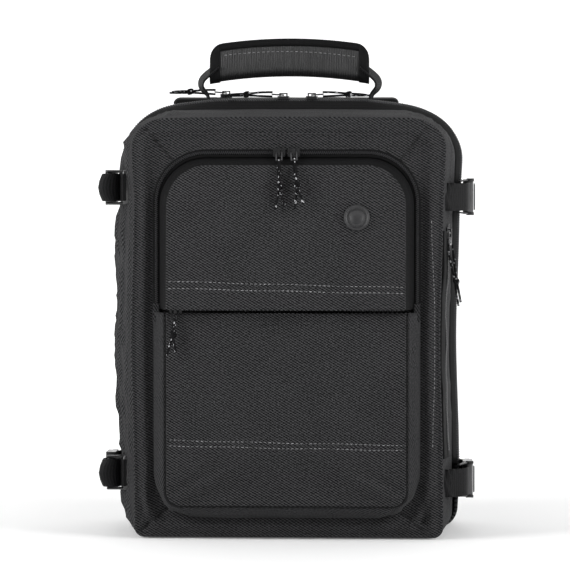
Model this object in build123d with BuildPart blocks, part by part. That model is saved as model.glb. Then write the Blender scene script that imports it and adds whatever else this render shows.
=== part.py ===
from build123d import *
import math
import os

# Travel backpack, cabin size. Millimetres, X to the right, Y to the back, Z up.
# The bag stands on its flat base at Z 0, and its front face looks along -Y.

os.makedirs("parts", exist_ok=True)

# ---- driving dimensions ----
wall = 3.5                      # padded fabric wall

split_y = -4.0                  # plane of the main zip, where the clamshell parts
split_gap = 0.2
rear_half_width = 158.0
rear_top = 394.0
rear_back_y = 72.0
rear_low_radius = 28.0
rear_top_radius = 42.0

lip_y = -20.0                   # the front half is straight up to here, then tapers
front_half_width = 150.0
front_top = 386.0
front_low_radius = 24.0
front_top_radius = 36.0
ring_y = -82.0
ring_half_width = 135.0
ring_top = 376.0
ring_low_radius = 14.0
ring_top_radius = 22.0

tape_gap = 0.1
tape_thick = 1.5
tape_width = 11.8
tape_low = 62.0                 # the main zip ends above the bottom corners

pocket_half_width = 119.0       # pocket outline where it meets the ring
pocket_face_half_width = 107.0
pocket_low = 19.0
pocket_face_low = 31.0
pocket_radius = 42.0
pocket_face_radius = 32.0
pocket_wall = 2.4
gusset_front_y = -100.0
gusset_top = 203.8

panel_front_y = -102.5          # slip pocket panel
panel_rear_y = -100.3
panel_top = 202.5
backing_front_y = -94.6
backing_rear_y = -93.0

flap_low = 204.5
flap_high = 341.0
flap_face_high = 332.5
flap_base_y = -85.5
flap_hem_y = -109.8             # front of the flap at its hem
flap_top_y = -96.0              # front of the flap at its upper edge
flap_thick = 2.2
flap_radius = 45.0
flap_face_radius = 35.0

chain_width = 2.4
chain_inner = 120.3
chain_inner_top = 344.7
chain_low = 207.0
badge_x = 63.0
badge_z = 288.3
badge_radius = 11.5

webbing_width = 25.0
webbing_thick = 1.4
buckle_x = 163.5
buckle_height = 32.0
housing_thick = 9.0
housing_front_y = -30.0
housing_rear_y = -5.0
male_thick = 5.0
strap_heights = {
    "left_upper": (-1, 315.0),
    "left_lower": (-1, 56.5),
    "right_upper": (1, 306.5),
    "right_lower": (1, 49.0),
}

handle_y = 25.0
handle_pivot_z = 396.0
handle_left = -74.0
handle_right = 71.0
handle_thick = 13.0

slider_length = 11.0
slider_width = 7.6
slider_thick = 3.0
bridge_clear = 2.0
bridge_thick = 1.0
tab_thick = 1.2
tab_length = 11.0
cord_diameter = 2.1
knot_radius = 3.2


def at_y(y):
    """Plane parallel to XZ at this Y, facing the front."""
    return Plane.XZ.offset(-y)


def rounded_panel(plane, left, right, low, high, low_radius, high_radius):
    """Rectangle on a plane, with its own radius for the lower and the upper corners."""
    with BuildSketch(plane) as panel:
        with Locations(((left + right) / 2, (low + high) / 2)):
            Rectangle(right - left, high - low)
        if low_radius:
            fillet(panel.vertices().group_by(Axis.Y)[0], low_radius)
        if high_radius:
            fillet(panel.vertices().group_by(Axis.Y)[-1], high_radius)
    return panel.sketch


def slab(front_y, rear_y, left, right, low, high, low_radius, high_radius, mode=Mode.ADD):
    """Rounded panel with its thickness along Y."""
    panel = rounded_panel(at_y(rear_y), left, right, low, high, low_radius, high_radius)
    extrude(panel, amount=rear_y - front_y, mode=mode)


def band(front_y, rear_y, half_width, high, high_radius, inner, thick, low):
    """Tape that runs up one side, over the top and down the other side of a shell."""
    outer = inner + thick
    slab(front_y, rear_y, -half_width - outer, half_width + outer, 0, high + outer,
         0, high_radius + outer)
    slab(front_y, rear_y, -half_width - inner, half_width + inner, -1, high + inner,
         0, high_radius + inner, Mode.SUBTRACT)
    with Locations((0, (front_y + rear_y) / 2, low / 2)):
        Box(2 * (half_width + outer) + 2, rear_y - front_y + 2, low, mode=Mode.SUBTRACT)


def ribbon(points, thick):
    """Corners of a strip of constant thickness along an open line of points."""
    left_side = []
    right_side = []
    for i, (x, y) in enumerate(points):
        before = points[max(i - 1, 0)]
        after = points[min(i + 1, len(points) - 1)]
        first = (x - before[0], y - before[1]) if i else (after[0] - x, after[1] - y)
        last = (after[0] - x, after[1] - y) if i < len(points) - 1 else first
        first_length = math.hypot(*first)
        last_length = math.hypot(*last)
        nx = -first[1] / first_length - last[1] / last_length
        ny = first[0] / first_length + last[0] / last_length
        size = math.hypot(nx, ny)
        half_turn = size / 2
        reach = thick / 2 / half_turn / size
        left_side.append((x + nx * reach, y + ny * reach))
        right_side.append((x - nx * reach, y - ny * reach))
    return left_side + right_side[::-1]


def side_x(y):
    """Half width of the front half at this Y."""
    taper = (front_half_width - ring_half_width) / (lip_y - ring_y)
    return front_half_width - taper * max(lip_y - y, 0)


# ---- main body: rear half ----
with BuildPart() as rear_shell:
    slab(split_y + split_gap, rear_back_y, -rear_half_width, rear_half_width, 0, rear_top,
         rear_low_radius, rear_top_radius)
    slab(split_y + split_gap, rear_back_y - wall, wall - rear_half_width,
         rear_half_width - wall, wall, rear_top - wall, rear_low_radius - wall,
         rear_top_radius - wall, Mode.SUBTRACT)
rear_shell.part.label = "rear_shell"
export_step(rear_shell.part, "parts/rear_shell.step")

with BuildPart() as laptop_divider:
    slab(43, 45.5, -152, 152, 5, 310, 24, 20)
laptop_divider.part.label = "laptop_divider"
export_step(laptop_divider.part, "parts/laptop_divider.step")

with BuildPart() as frame_sheet:
    slab(65.5, 67.8, -140, 140, 12, 372, 24, 40)
frame_sheet.part.label = "frame_sheet"
export_step(frame_sheet.part, "parts/frame_sheet.step")

with BuildPart() as main_zip_rear:
    band(split_y + split_gap, split_y + split_gap + tape_width, rear_half_width, rear_top,
         rear_top_radius, tape_gap, tape_thick, tape_low)
main_zip_rear.part.label = "main_zip_rear"
export_step(main_zip_rear.part, "parts/main_zip_rear.step")

with BuildPart() as laptop_zip:
    with Locations((0, 50, rear_top + 0.2)):
        Box(224, 16, 5.2, align=(Align.CENTER, Align.CENTER, Align.MIN))
    fillet(laptop_zip.edges().group_by(Axis.Z)[-1], 2.2)
laptop_zip.part.label = "laptop_zip"
export_step(laptop_zip.part, "parts/laptop_zip.step")

# ---- back panel ----
with BuildPart() as back_pad_left:
    slab(rear_back_y + 0.3, 84, -118, -14, 112, 348, 14, 40)
    fillet(back_pad_left.edges().group_by(Axis.Y)[-1], 4)
back_pad_left.part.label = "back_pad_left"
export_step(back_pad_left.part, "parts/back_pad_left.step")

with BuildPart() as back_pad_right:
    slab(rear_back_y + 0.3, 84, 14, 118, 112, 348, 14, 40)
    fillet(back_pad_right.edges().group_by(Axis.Y)[-1], 4)
back_pad_right.part.label = "back_pad_right"
export_step(back_pad_right.part, "parts/back_pad_right.step")

with BuildPart() as lumbar_pad:
    slab(rear_back_y + 0.3, 84.6, -118, 118, 24, 100, 20, 14)
    fillet(lumbar_pad.edges().group_by(Axis.Y)[-1], 4)
lumbar_pad.part.label = "lumbar_pad"
export_step(lumbar_pad.part, "parts/lumbar_pad.step")

with BuildPart() as strap_yoke:
    slab(rear_back_y + 0.3, 86, -84, 84, 354, 382, 6, 6)
    fillet(strap_yoke.edges().group_by(Axis.Y)[-1], 3)
strap_yoke.part.label = "strap_yoke"
export_step(strap_yoke.part, "parts/strap_yoke.step")

# ---- shoulder straps and their lower webbing ----
for name, side in (("left", -1), ("right", 1)):
    with BuildPart() as shoulder_pad:
        with BuildSketch(at_y(101)) as pad_outline:
            Polygon(
                (side * 20, 351), (side * 80, 351), (side * 102, 250), (side * 112, 140),
                (side * 106, 109), (side * 74, 109), (side * 64, 140), (side * 44, 250),
                align=None,
            )
            fillet(pad_outline.vertices(), 9)
        extrude(amount=14)
        fillet(shoulder_pad.edges().group_by(Axis.Y)[-1], 4)
    shoulder_pad.part.label = f"shoulder_pad_{name}"
    export_step(shoulder_pad.part, f"parts/shoulder_pad_{name}.step")

    with BuildPart() as ladder_lock:
        with Locations((side * 90, 93, 96)):
            Box(30, 8, 24)
            with Locations((0, 0, -6.5), (0, 0, 2.5)):
                Box(25, 10, 4, mode=Mode.SUBTRACT)
        fillet(ladder_lock.edges().filter_by(Axis.Y), 1.2)
    ladder_lock.part.label = f"ladder_lock_{name}"
    export_step(ladder_lock.part, f"parts/ladder_lock_{name}.step")

    with BuildPart() as webbing_lower:
        with BuildSketch(at_y(86.6)):
            Polygon(
                (side * 146, 42), (side * 146, 22), (side * 121, 22),
                (side * 78, 100), (side * 102, 100), (side * 136, 42),
                align=None,
            )
        extrude(amount=webbing_thick)
        with Locations((side * 133.5, rear_back_y + 0.3, 22)):
            Box(25, 14.3, 20, align=(Align.CENTER, Align.MIN, Align.MIN))
    webbing_lower.part.label = f"webbing_lower_{name}"
    export_step(webbing_lower.part, f"parts/webbing_lower_{name}.step")

# ---- main body: front half, which opens like a door ----
with BuildPart() as front_shell:
    slab(lip_y, split_y - split_gap, -front_half_width, front_half_width, 0, front_top,
         front_low_radius, front_top_radius)
    loft([
        rounded_panel(at_y(lip_y), -front_half_width, front_half_width, 0, front_top,
                      front_low_radius, front_top_radius),
        rounded_panel(at_y(ring_y), -ring_half_width, ring_half_width, 0, ring_top,
                      ring_low_radius, ring_top_radius),
    ])
    slab(lip_y, split_y - split_gap, wall - front_half_width, front_half_width - wall,
         wall, front_top - wall, front_low_radius - wall, front_top_radius - wall,
         Mode.SUBTRACT)
    loft([
        rounded_panel(at_y(lip_y), wall - front_half_width, front_half_width - wall, wall,
                      front_top - wall, front_low_radius - wall, front_top_radius - wall),
        rounded_panel(at_y(ring_y + wall), wall - side_x(ring_y + wall),
                      side_x(ring_y + wall) - wall, wall, ring_top - wall,
                      ring_low_radius - wall, ring_top_radius - wall),
    ], mode=Mode.SUBTRACT)
front_shell.part.label = "front_shell"
export_step(front_shell.part, "parts/front_shell.step")

with BuildPart() as main_zip_front:
    band(split_y - split_gap - tape_width, split_y - split_gap, front_half_width, front_top,
         front_top_radius, tape_gap, tape_thick, tape_low)
main_zip_front.part.label = "main_zip_front"
export_step(main_zip_front.part, "parts/main_zip_front.step")

# ---- front pocket: gusset, slip pocket, zip ----
with BuildPart() as pocket_gusset:
    loft([
        rounded_panel(at_y(ring_y - 0.3), -pocket_half_width, pocket_half_width, pocket_low,
                      gusset_top, pocket_radius, 0),
        rounded_panel(at_y(gusset_front_y), -pocket_face_half_width, pocket_face_half_width,
                      pocket_face_low, gusset_top, pocket_face_radius, 0),
    ])
    loft([
        rounded_panel(at_y(ring_y - 0.3), pocket_wall - pocket_half_width,
                      pocket_half_width - pocket_wall, pocket_low + pocket_wall,
                      gusset_top + 10, pocket_radius - pocket_wall, 0),
        rounded_panel(at_y(gusset_front_y), pocket_wall - pocket_face_half_width,
                      pocket_face_half_width - pocket_wall, pocket_face_low + pocket_wall,
                      gusset_top + 10, pocket_face_radius - pocket_wall, 0),
    ], mode=Mode.SUBTRACT)
pocket_gusset.part.label = "pocket_gusset"
export_step(pocket_gusset.part, "parts/pocket_gusset.step")

with BuildPart() as slip_backing:
    slab(backing_front_y, backing_rear_y, -105, 105, 34, 200, 32, 0)
slip_backing.part.label = "slip_backing"
export_step(slip_backing.part, "parts/slip_backing.step")

with BuildPart() as slip_panel:
    slab(panel_front_y, panel_rear_y, -pocket_face_half_width, pocket_face_half_width,
         pocket_face_low, panel_top, pocket_face_radius, 0)
slip_panel.part.label = "slip_panel"
export_step(slip_panel.part, "parts/slip_panel.step")

with BuildPart() as slip_zip:
    with Locations((0, -99.5, 207)):
        Box(206, 1.4, 5)
slip_zip.part.label = "slip_zip"
export_step(slip_zip.part, "parts/slip_zip.step")

with BuildPart() as front_zip_chain:
    slab(ring_y - 2.3, ring_y - 0.3, -chain_inner - chain_width, chain_inner + chain_width,
         chain_low, chain_inner_top + chain_width, 0, flap_radius + 1.3 + chain_width)
    slab(ring_y - 2.3, ring_y - 0.3, -chain_inner, chain_inner, chain_low - 10,
         chain_inner_top, 0, flap_radius + 1.3, Mode.SUBTRACT)
front_zip_chain.part.label = "front_zip_chain"
export_step(front_zip_chain.part, "parts/front_zip_chain.step")

# ---- front flap: the upper panel of the pocket, which folds forward ----
flap_tilt = math.atan2(flap_top_y - flap_hem_y, flap_face_high - flap_low)
flap_out = (0, -math.cos(flap_tilt), math.sin(flap_tilt))
flap_plane = Plane(origin=(0, flap_hem_y, flap_low), x_dir=(1, 0, 0), z_dir=flap_out)
flap_face_length = (flap_face_high - flap_low) / math.cos(flap_tilt)

with BuildPart() as front_flap:
    loft([
        rounded_panel(at_y(flap_base_y), -pocket_half_width, pocket_half_width, flap_low,
                      flap_high, 0, flap_radius),
        rounded_panel(flap_plane, -pocket_face_half_width, pocket_face_half_width, 0,
                      flap_face_length, 0, flap_face_radius),
    ])
    loft([
        rounded_panel(at_y(flap_base_y), flap_thick - pocket_half_width,
                      pocket_half_width - flap_thick, flap_low - 20, flap_high - flap_thick, 0,
                      flap_radius - flap_thick),
        rounded_panel(flap_plane.offset(-flap_thick), flap_thick - pocket_face_half_width,
                      pocket_face_half_width - flap_thick, -20, flap_face_length - flap_thick,
                      0, flap_face_radius - flap_thick),
    ], mode=Mode.SUBTRACT)
front_flap.part.label = "front_flap"
export_step(front_flap.part, "parts/front_flap.step")

with BuildPart() as flap_zip_tape:
    slab(flap_base_y + 0.2, flap_base_y + 1.2, -pocket_half_width, pocket_half_width,
         chain_low, flap_high, 0, flap_radius)
    slab(flap_base_y + 0.2, flap_base_y + 1.2, 9 - pocket_half_width,
         pocket_half_width - 9, chain_low - 10, flap_high - 9, 0, flap_radius - 9,
         Mode.SUBTRACT)
flap_zip_tape.part.label = "flap_zip_tape"
export_step(flap_zip_tape.part, "parts/flap_zip_tape.step")

badge_up = (badge_z - flap_low) / math.cos(flap_tilt)
with BuildPart(flap_plane) as badge:
    with Locations((badge_x, badge_up, 0.2)):
        Cylinder(badge_radius, 1.6, align=(Align.CENTER, Align.CENTER, Align.MIN))
    with Locations((badge_x, badge_up, 1.3)):
        Cylinder(badge_radius - 2, 1, align=(Align.CENTER, Align.CENTER, Align.MIN),
                 mode=Mode.SUBTRACT)
badge.part.label = "badge"
export_step(badge.part, "parts/badge.step")

# ---- side pocket on the right of the front half ----
side_gap = 0.2
with BuildPart() as side_welt:
    with BuildSketch(Plane.XY.offset(70)):
        Polygon(
            (side_x(-80) + side_gap, -80), (side_x(-67) + side_gap, -67),
            (side_x(-67) + side_gap + 1.5, -67), (side_x(-80) + side_gap + 1.5, -80),
            align=None,
        )
    extrude(amount=218)
side_welt.part.label = "side_welt"
export_step(side_welt.part, "parts/side_welt.step")

with BuildPart() as side_zip:
    with BuildSketch(Plane.XY.offset(76)):
        Polygon(
            (side_x(-65) + side_gap, -65), (side_x(-59) + side_gap, -59),
            (side_x(-59) + side_gap + 1.5, -59), (side_x(-65) + side_gap + 1.5, -65),
            align=None,
        )
    extrude(amount=209)
side_zip.part.label = "side_zip"
export_step(side_zip.part, "parts/side_zip.step")

# ---- compression straps ----
front_paths = {
    -1: [(-145.4, -42), (-154.6, -48), (-154.6, -63), (-166.4, -61), (-163.5, -36),
         (-163.5, -30.4)],
    1: [(138.8, -72), (150, -66), (163.5, -52), (163.5, -30.4)],
}
with BuildPart() as compression_webbing_front:
    for side, z in strap_heights.values():
        with BuildSketch(Plane.XY.offset(z - webbing_width / 2)):
            Polygon(*ribbon(front_paths[side], webbing_thick), align=None)
        extrude(amount=webbing_width)
compression_webbing_front.part.label = "compression_webbing_front"
export_step(compression_webbing_front.part, "parts/compression_webbing_front.step")

with BuildPart() as strap_frames:
    for side, z in strap_heights.values():
        if side < 0:
            with Locations((-153.4, -56.2, z)):
                Box(21.6, 3.4, 31)
                Box(10.6, 4, 26.4, mode=Mode.SUBTRACT)
    fillet(strap_frames.edges().filter_by(Axis.Y), 1.4)
strap_frames.part.label = "strap_frames"
export_step(strap_frames.part, "parts/strap_frames.step")

with BuildPart() as buckle_housings:
    for side, z in strap_heights.values():
        with Locations((side * buckle_x, housing_rear_y, z)):
            Box(housing_thick, housing_rear_y - housing_front_y, buckle_height,
                align=(Align.CENTER, Align.MAX, Align.CENTER))
            Box(male_thick + 0.8, 12, 26, align=(Align.CENTER, Align.MAX, Align.CENTER),
                mode=Mode.SUBTRACT)
            with Locations((0, -18, 0)):
                Box(housing_thick + 2, 3.6, webbing_width + 0.6,
                    align=(Align.CENTER, Align.MAX, Align.CENTER), mode=Mode.SUBTRACT)
buckle_housings.part.label = "buckle_housings"
export_step(buckle_housings.part, "parts/buckle_housings.step")

rear_paths = {
    side: [(side * 160.0, 9.4), (side * 160.0, 50), (side * 159.2, 66)]
    for side in (-1, 1)
}
with BuildPart() as compression_webbing_rear:
    for side, z in strap_heights.values():
        with BuildSketch(Plane.XY.offset(z - webbing_width / 2)):
            Polygon(*ribbon(rear_paths[side], webbing_thick), align=None)
        extrude(amount=webbing_width)
compression_webbing_rear.part.label = "compression_webbing_rear"
export_step(compression_webbing_rear.part, "parts/compression_webbing_rear.step")

for name, (side, z) in strap_heights.items():
    with BuildPart() as male:
        with Locations((side * (buckle_x + 0.2), housing_rear_y + 0.4, z)):
            Box(male_thick, 25, buckle_height - 4,
                align=(Align.CENTER, Align.MIN, Align.CENTER))
            with Locations((0, 12, 0), (0, 18.5, 0)):
                Box(male_thick + 2, 3.4, webbing_width - 0.6,
                    align=(Align.CENTER, Align.MIN, Align.CENTER), mode=Mode.SUBTRACT)
            with Locations((0, 0.1, -8.4), (0, 0.1, 0), (0, 0.1, 8.4)):
                Box(male_thick, 7.6, 2.8, align=(Align.CENTER, Align.MAX, Align.CENTER))
        fillet(male.edges().group_by(Axis.Y)[-1].filter_by(Axis.X), 2)
    male.part.label = f"buckle_{name}"
    export_step(male.part, f"parts/buckle_{name}.step")

# ---- grab handle ----
with BuildPart() as handle_grip:
    with BuildSketch(at_y(handle_y + handle_thick / 2)):
        with BuildLine():
            ThreePointArc((handle_left, 412), (-1.5, 418), (handle_right, 412))
            Line((handle_right, 412), (handle_right, 440.6))
            ThreePointArc((handle_right, 440.6), (-1.5, 446), (handle_left, 440.6))
            Line((handle_left, 440.6), (handle_left, 412))
        make_face()
    extrude(amount=handle_thick)
    fillet(handle_grip.edges().group_by(Axis.Z)[0], 3)
handle_grip.part.label = "handle_grip"
export_step(handle_grip.part, "parts/handle_grip.step")

with BuildPart() as handle_binding:
    with BuildSketch(at_y(handle_y + handle_thick / 2 - 1.5)):
        with BuildLine():
            ThreePointArc((handle_left, 440.7), (-1.5, 446.1), (handle_right, 440.7))
            Line((handle_right, 440.7), (handle_right, 447.6))
            ThreePointArc((handle_right, 447.6), (-1.5, 453), (handle_left, 447.6))
            Line((handle_left, 447.6), (handle_left, 440.7))
        make_face()
    extrude(amount=handle_thick - 3)
handle_binding.part.label = "handle_binding"
export_step(handle_binding.part, "parts/handle_binding.step")

with BuildPart() as handle_webbing:
    for end, side in ((handle_left, -1), (handle_right, 1)):
        with BuildSketch(at_y(handle_y + 10)):
            Polygon(*ribbon([(end - side * 3, 397.2), (end + side * 9, 408),
                             (end + side * 9, 416), (end + side * 1.4, 428)], 2.2),
                    align=None)
        extrude(amount=20)
    for side in (-1, 1):
        with BuildSketch(Plane.YZ.offset(-100)):
            Polygon((handle_y + side * 1.4, 395), (handle_y + side * 1.4, 397.4),
                    (handle_y + side * 10.5, 406.3), (handle_y + side * 12, 395), align=None)
        extrude(amount=200, mode=Mode.SUBTRACT)
handle_webbing.part.label = "handle_webbing"
export_step(handle_webbing.part, "parts/handle_webbing.step")

# ---- zip sliders, wire tabs and pull cords ----
hinge_rise = slider_thick + bridge_clear / 2


def unit(vector):
    size = math.sqrt(sum(v * v for v in vector))
    return Vector(*[v / size for v in vector])


def tilted(down, out, degrees):
    """The pull direction and its outward normal, swung outward by an angle."""
    turn = math.radians(degrees)
    along = down * math.cos(turn) + out * math.sin(turn)
    up = out * math.cos(turn) - down * math.sin(turn)
    return along, up


side_out = (1, -(front_half_width - ring_half_width) / (lip_y - ring_y), 0)
side_zip_x = side_x(-62) + side_gap + 1.5
tape_top = rear_top + tape_gap + tape_thick
# name: slider seat, zip travel, pull direction, outward, swing out, drop, knot at, tails
zips = {
    "main_left": ((-6, -3.8, tape_top + 0.3), (1, 0, 0), (-1, 0, 0), (0, 0, 1), 4, 6, 34, 54),
    "main_right": ((20, -3.8, tape_top + 0.3), (1, 0, 0), (1, 0, 0), (0, 0, 1), 4, 6, 34, 54),
    "laptop": ((-62, 50, rear_top + 5.7), (1, 0, 0), (-1, 0.03, 0), (0, 0, 1), 5, 6, 34, 54),
    "front_left": ((-6.5, ring_y - 2.6, 345.9), (1, 0, 0), (0.03, 0, -1), (0, -1, 0), 48, 42,
                   35, 56),
    "front_right": ((6.5, ring_y - 2.6, 345.9), (1, 0, 0), (0.12, 0, -1), (0, -1, 0), 48, 42,
                    35, 56),
    "slip": ((-98, -100.5, 207), (1, 0, 0), (-0.08, 0, -1), (0, -1, 0), 16, 12, 23, 42),
    "side": ((side_zip_x + 0.3, -62, 274), (0, 0, 1), (0, 0, -1), side_out, 4, -6, 44, 66),
}


def pull_frame(name):
    """Hinge centre, pull direction, outward normal and width direction of one pull."""
    seat, travel, down, out, swing, drop, knot, tail = zips[name]
    out = unit(out)
    hinge = Vector(*seat) + out * hinge_rise
    along, up = tilted(unit(down), out, swing)
    return hinge, along, up, up.cross(along)


def pull_point(name, s, across, rise):
    """Point at a distance along the bent centre line of a pull, set off across and out."""
    hinge, along, up, width = pull_frame(name)
    drop = math.radians(zips[name][5])
    bend = tab_length + 5
    rest = max(s - bend, 0)
    x = min(s, bend) + rest * math.cos(drop)
    z = -rest * math.sin(drop)
    if rest:
        x += rise * math.sin(drop)
        z += rise * math.cos(drop)
    else:
        z += rise
    return hinge + along * x + width * across + up * z


def strand_points(name, hand):
    """Corner points of one strand, from the wire tab through the knot to its tail."""
    knot, tail = zips[name][6:]
    middle = (tab_length + knot) / 2
    return [
        pull_point(name, tab_length - 0.8, 0.2 * hand, 2.0 * hand),
        pull_point(name, middle - 1, 1.6 * hand, 1.7 * hand),
        pull_point(name, knot - 3, -0.9 * hand, 0.8 * hand),
        pull_point(name, knot + (tail - knot) * 0.45, 1.7 * hand, 0.9 * hand),
        pull_point(name, tail - 1.5 * (hand + 1), 4.2 * hand, 0.3 * hand),
    ]


def bend_radii(points):
    """The widest bends that leave a short straight part between two neighbours."""
    radii = []
    for before, here, after in zip(points, points[1:], points[2:]):
        first = here - before
        last = after - here
        turn = math.radians(first.get_angle(last))
        radii.append(0.45 * min(first.length, last.length) / math.tan(turn / 2))
    return radii


for name, (seat, travel, down, out, swing, drop, knot, tail) in zips.items():
    slider_plane = Plane(origin=seat, x_dir=travel, z_dir=unit(out))
    across = unit(out).cross(unit(travel))
    lies_along = abs(unit(travel).dot(unit(down))) > 0.5
    with BuildPart(slider_plane) as slider:
        Box(slider_length, slider_width, slider_thick,
            align=(Align.CENTER, Align.CENTER, Align.MIN))
        fillet(slider.edges().filter_by(Axis((0, 0, 0), unit(out))), 1.6)
        with Locations((0, 0, slider_thick)):
            if lies_along:
                Box(7.6, 2, bridge_clear + bridge_thick,
                    align=(Align.CENTER, Align.CENTER, Align.MIN))
                Box(5.2, 2, bridge_clear, align=(Align.CENTER, Align.CENTER, Align.MIN),
                    mode=Mode.SUBTRACT)
            else:
                Box(2, 7.4, bridge_clear + bridge_thick,
                    align=(Align.CENTER, Align.CENTER, Align.MIN))
                Box(2, 5.2, bridge_clear, align=(Align.CENTER, Align.CENTER, Align.MIN),
                    mode=Mode.SUBTRACT)
    slider.part.label = f"slider_{name}"
    export_step(slider.part, f"parts/slider_{name}.step")

    hinge, along, up, width = pull_frame(name)
    with BuildPart(Plane(origin=hinge, x_dir=along, z_dir=up)) as tab:
        with Locations(((tab_length - 0.6) / 2, 0, 0)):
            Box(tab_length + 0.6, 6.2, tab_thick)
            Box(tab_length - 2.0, 3.6, tab_thick + 1, mode=Mode.SUBTRACT)
    tab.part.label = f"tab_{name}"
    export_step(tab.part, f"parts/tab_{name}.step")

    with BuildPart() as cord:
        with Locations(Plane(origin=pull_point(name, knot, 0.25, 0.15), x_dir=width, z_dir=up)):
            Sphere(knot_radius)
        for hand in (-1, 1):
            points = strand_points(name, hand)
            radii = bend_radii(points)
            print(f"cord_{name} strand {hand}: bends of", [round(r, 1) for r in radii], "mm")
            with BuildLine() as route:
                FilletPolyline(*points, radius=radii)
            with BuildSketch(Plane(origin=route.line @ 0, z_dir=route.line % 0)):
                Circle(cord_diameter / 2)
            sweep()
    cord.part.label = f"cord_{name}"
    export_step(cord.part, f"parts/cord_{name}.step")
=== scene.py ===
from math import copysign, cos, exp, hypot, pi, radians, sin, sqrt, tan
import bmesh
import bpy
from mathutils import Vector, Matrix, noise
from mathutils.bvhtree import BVHTree


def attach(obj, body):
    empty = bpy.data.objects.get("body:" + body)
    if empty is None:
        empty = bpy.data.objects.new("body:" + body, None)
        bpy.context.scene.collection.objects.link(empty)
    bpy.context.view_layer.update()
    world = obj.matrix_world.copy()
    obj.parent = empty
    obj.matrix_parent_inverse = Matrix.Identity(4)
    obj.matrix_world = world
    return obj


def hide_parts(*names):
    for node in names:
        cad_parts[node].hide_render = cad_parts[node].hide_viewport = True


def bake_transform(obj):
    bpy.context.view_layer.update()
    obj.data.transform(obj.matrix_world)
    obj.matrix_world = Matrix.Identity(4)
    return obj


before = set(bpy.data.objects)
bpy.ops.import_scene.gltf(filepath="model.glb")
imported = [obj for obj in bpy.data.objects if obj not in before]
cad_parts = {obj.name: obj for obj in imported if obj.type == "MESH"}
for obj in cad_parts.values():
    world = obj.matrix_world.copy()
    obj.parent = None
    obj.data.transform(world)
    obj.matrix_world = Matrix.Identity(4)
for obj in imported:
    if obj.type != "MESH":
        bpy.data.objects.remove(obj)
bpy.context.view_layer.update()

MM = 0.001

# ---- shape, in millimetres in the CAD frame: X right, Y back, Z up ----
RIM_FRONT_Y = -4.4              # rim of the front half, at the main zip
LIP_Y = -17.0
RING_Y = -81.0
BACK_Y = 71.0
FRONT_RIM = (146.0, 0.6, 386.6, 18.0, 46.0)      # half width, low, high, low and high radius
FRONT_RING = (136.3, 1.6, 377.5, 8.0, 26.0)
REAR_RIM = (151.6, 0.6, 391.0, 20.0, 50.0)
SPLIT_Z = 206.5                 # the flap's hem lies here, over the slip pocket
POCKET_BASE = (119.6, 18.6, 43)         # half width, low edge and corner radius at the ring
POCKET_EDGE = (108.6, 29.4, 14)         # the same where the gusset meets the face
POCKET_TOP = 203.6
POCKET_FACE_Y = -101.6
FLAP_BASE = (113.8, 341.2, 42)          # half width, top and corner radius at the ring
FLAP_FACE = (103.4, 331.9, 36)
FRONT_ZIP = (116.7, 345.9, 44)
MAIN_ZIP = (146, 386, 46)
SLIP_ZIP_Z = 207
SHELL_THICK = 3.2               # padded cloth of both shells
WEBBING_THICK = 1.5
WEBBING_HALF = 12.5             # half the width of 25 mm webbing
SIDE_ZIP_Y = -62
STRAPS = ((-1, 315.0), (-1, 56.5), (1, 306.5), (1, 49.0))
HANDLE_Y = 25.0
RAY_START = 200.0               # rays start this far outside the bag
FRONT = Vector((0, 1, 0))       # rays go this way when they come from the front


def P(x, y, z):
    return Vector((x, y, z)) * MM


def smooth(t):
    t = min(max(t, 0.0), 1.0)
    return t * t * (3 - 2 * t)


def mix(a, b, t):
    return a + (b - a) * t


def bell(d, width):
    return exp(-(d / width) ** 2)


def upright(outline, y):
    """A flat outline stood up at a depth."""
    return [Vector((p.x, y, p.y)) for p in outline]


def mirrored(side, points):
    return [(side * x, y, z) for x, y, z in points]


def new_object(name, data):
    made = bpy.data.objects.new(name, data)
    bpy.context.scene.collection.objects.link(made)
    return made


def claim(made, slot, *nodes):
    """Hides the CAD nodes that a piece stands for; the slot is not used."""
    if nodes:
        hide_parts(*nodes)
    return made


def fold(x, y, seed, sharp=3):
    """Height of a sharp crease pattern, from 0 to 1."""
    n = noise.noise(Vector((x, y, seed)))
    return (1 - min(abs(n) * 2.2, 1)) ** sharp


# ---- materials ----
def math_node(tree, operation, a, b=None, c=None):
    node = tree.nodes.new("ShaderNodeMath")
    node.operation = operation
    for socket, value in zip(node.inputs, (a, b, c)):
        if value is None:
            continue
        if isinstance(value, (int, float)):
            socket.default_value = value
        else:
            tree.links.new(value, socket)
    return node.outputs[0]


def colour_ramp(tree, factor, low, high, start=0.0, end=1.0):
    ramp = tree.nodes.new("ShaderNodeValToRGB")
    ramp.color_ramp.elements[0].position = start
    ramp.color_ramp.elements[1].position = end
    ramp.color_ramp.elements[0].color = (*low, 1)
    ramp.color_ramp.elements[1].color = (*high, 1)
    tree.links.new(factor, ramp.inputs[0])
    return ramp.outputs[0]


def noise_node(tree, vector, scale, detail=3.0):
    node = tree.nodes.new("ShaderNodeTexNoise")
    node.inputs["Scale"].default_value = scale
    node.inputs["Detail"].default_value = detail
    tree.links.new(vector, node.inputs["Vector"])
    return node.outputs[0]


def material(name, roughness, sheen=0.0, metallic=0.0, coat=0.0, specular=0.5):
    made = bpy.data.materials.new(name)
    made.use_nodes = True
    shader = made.node_tree.nodes["Principled BSDF"]
    shader.inputs["Roughness"].default_value = roughness
    shader.inputs["Metallic"].default_value = metallic
    shader.inputs["Sheen Weight"].default_value = sheen
    shader.inputs["Sheen Roughness"].default_value = 0.45
    shader.inputs["Coat Weight"].default_value = coat
    shader.inputs["Coat Roughness"].default_value = 0.25
    shader.inputs["Specular IOR Level"].default_value = specular
    return made, made.node_tree, shader


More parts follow.
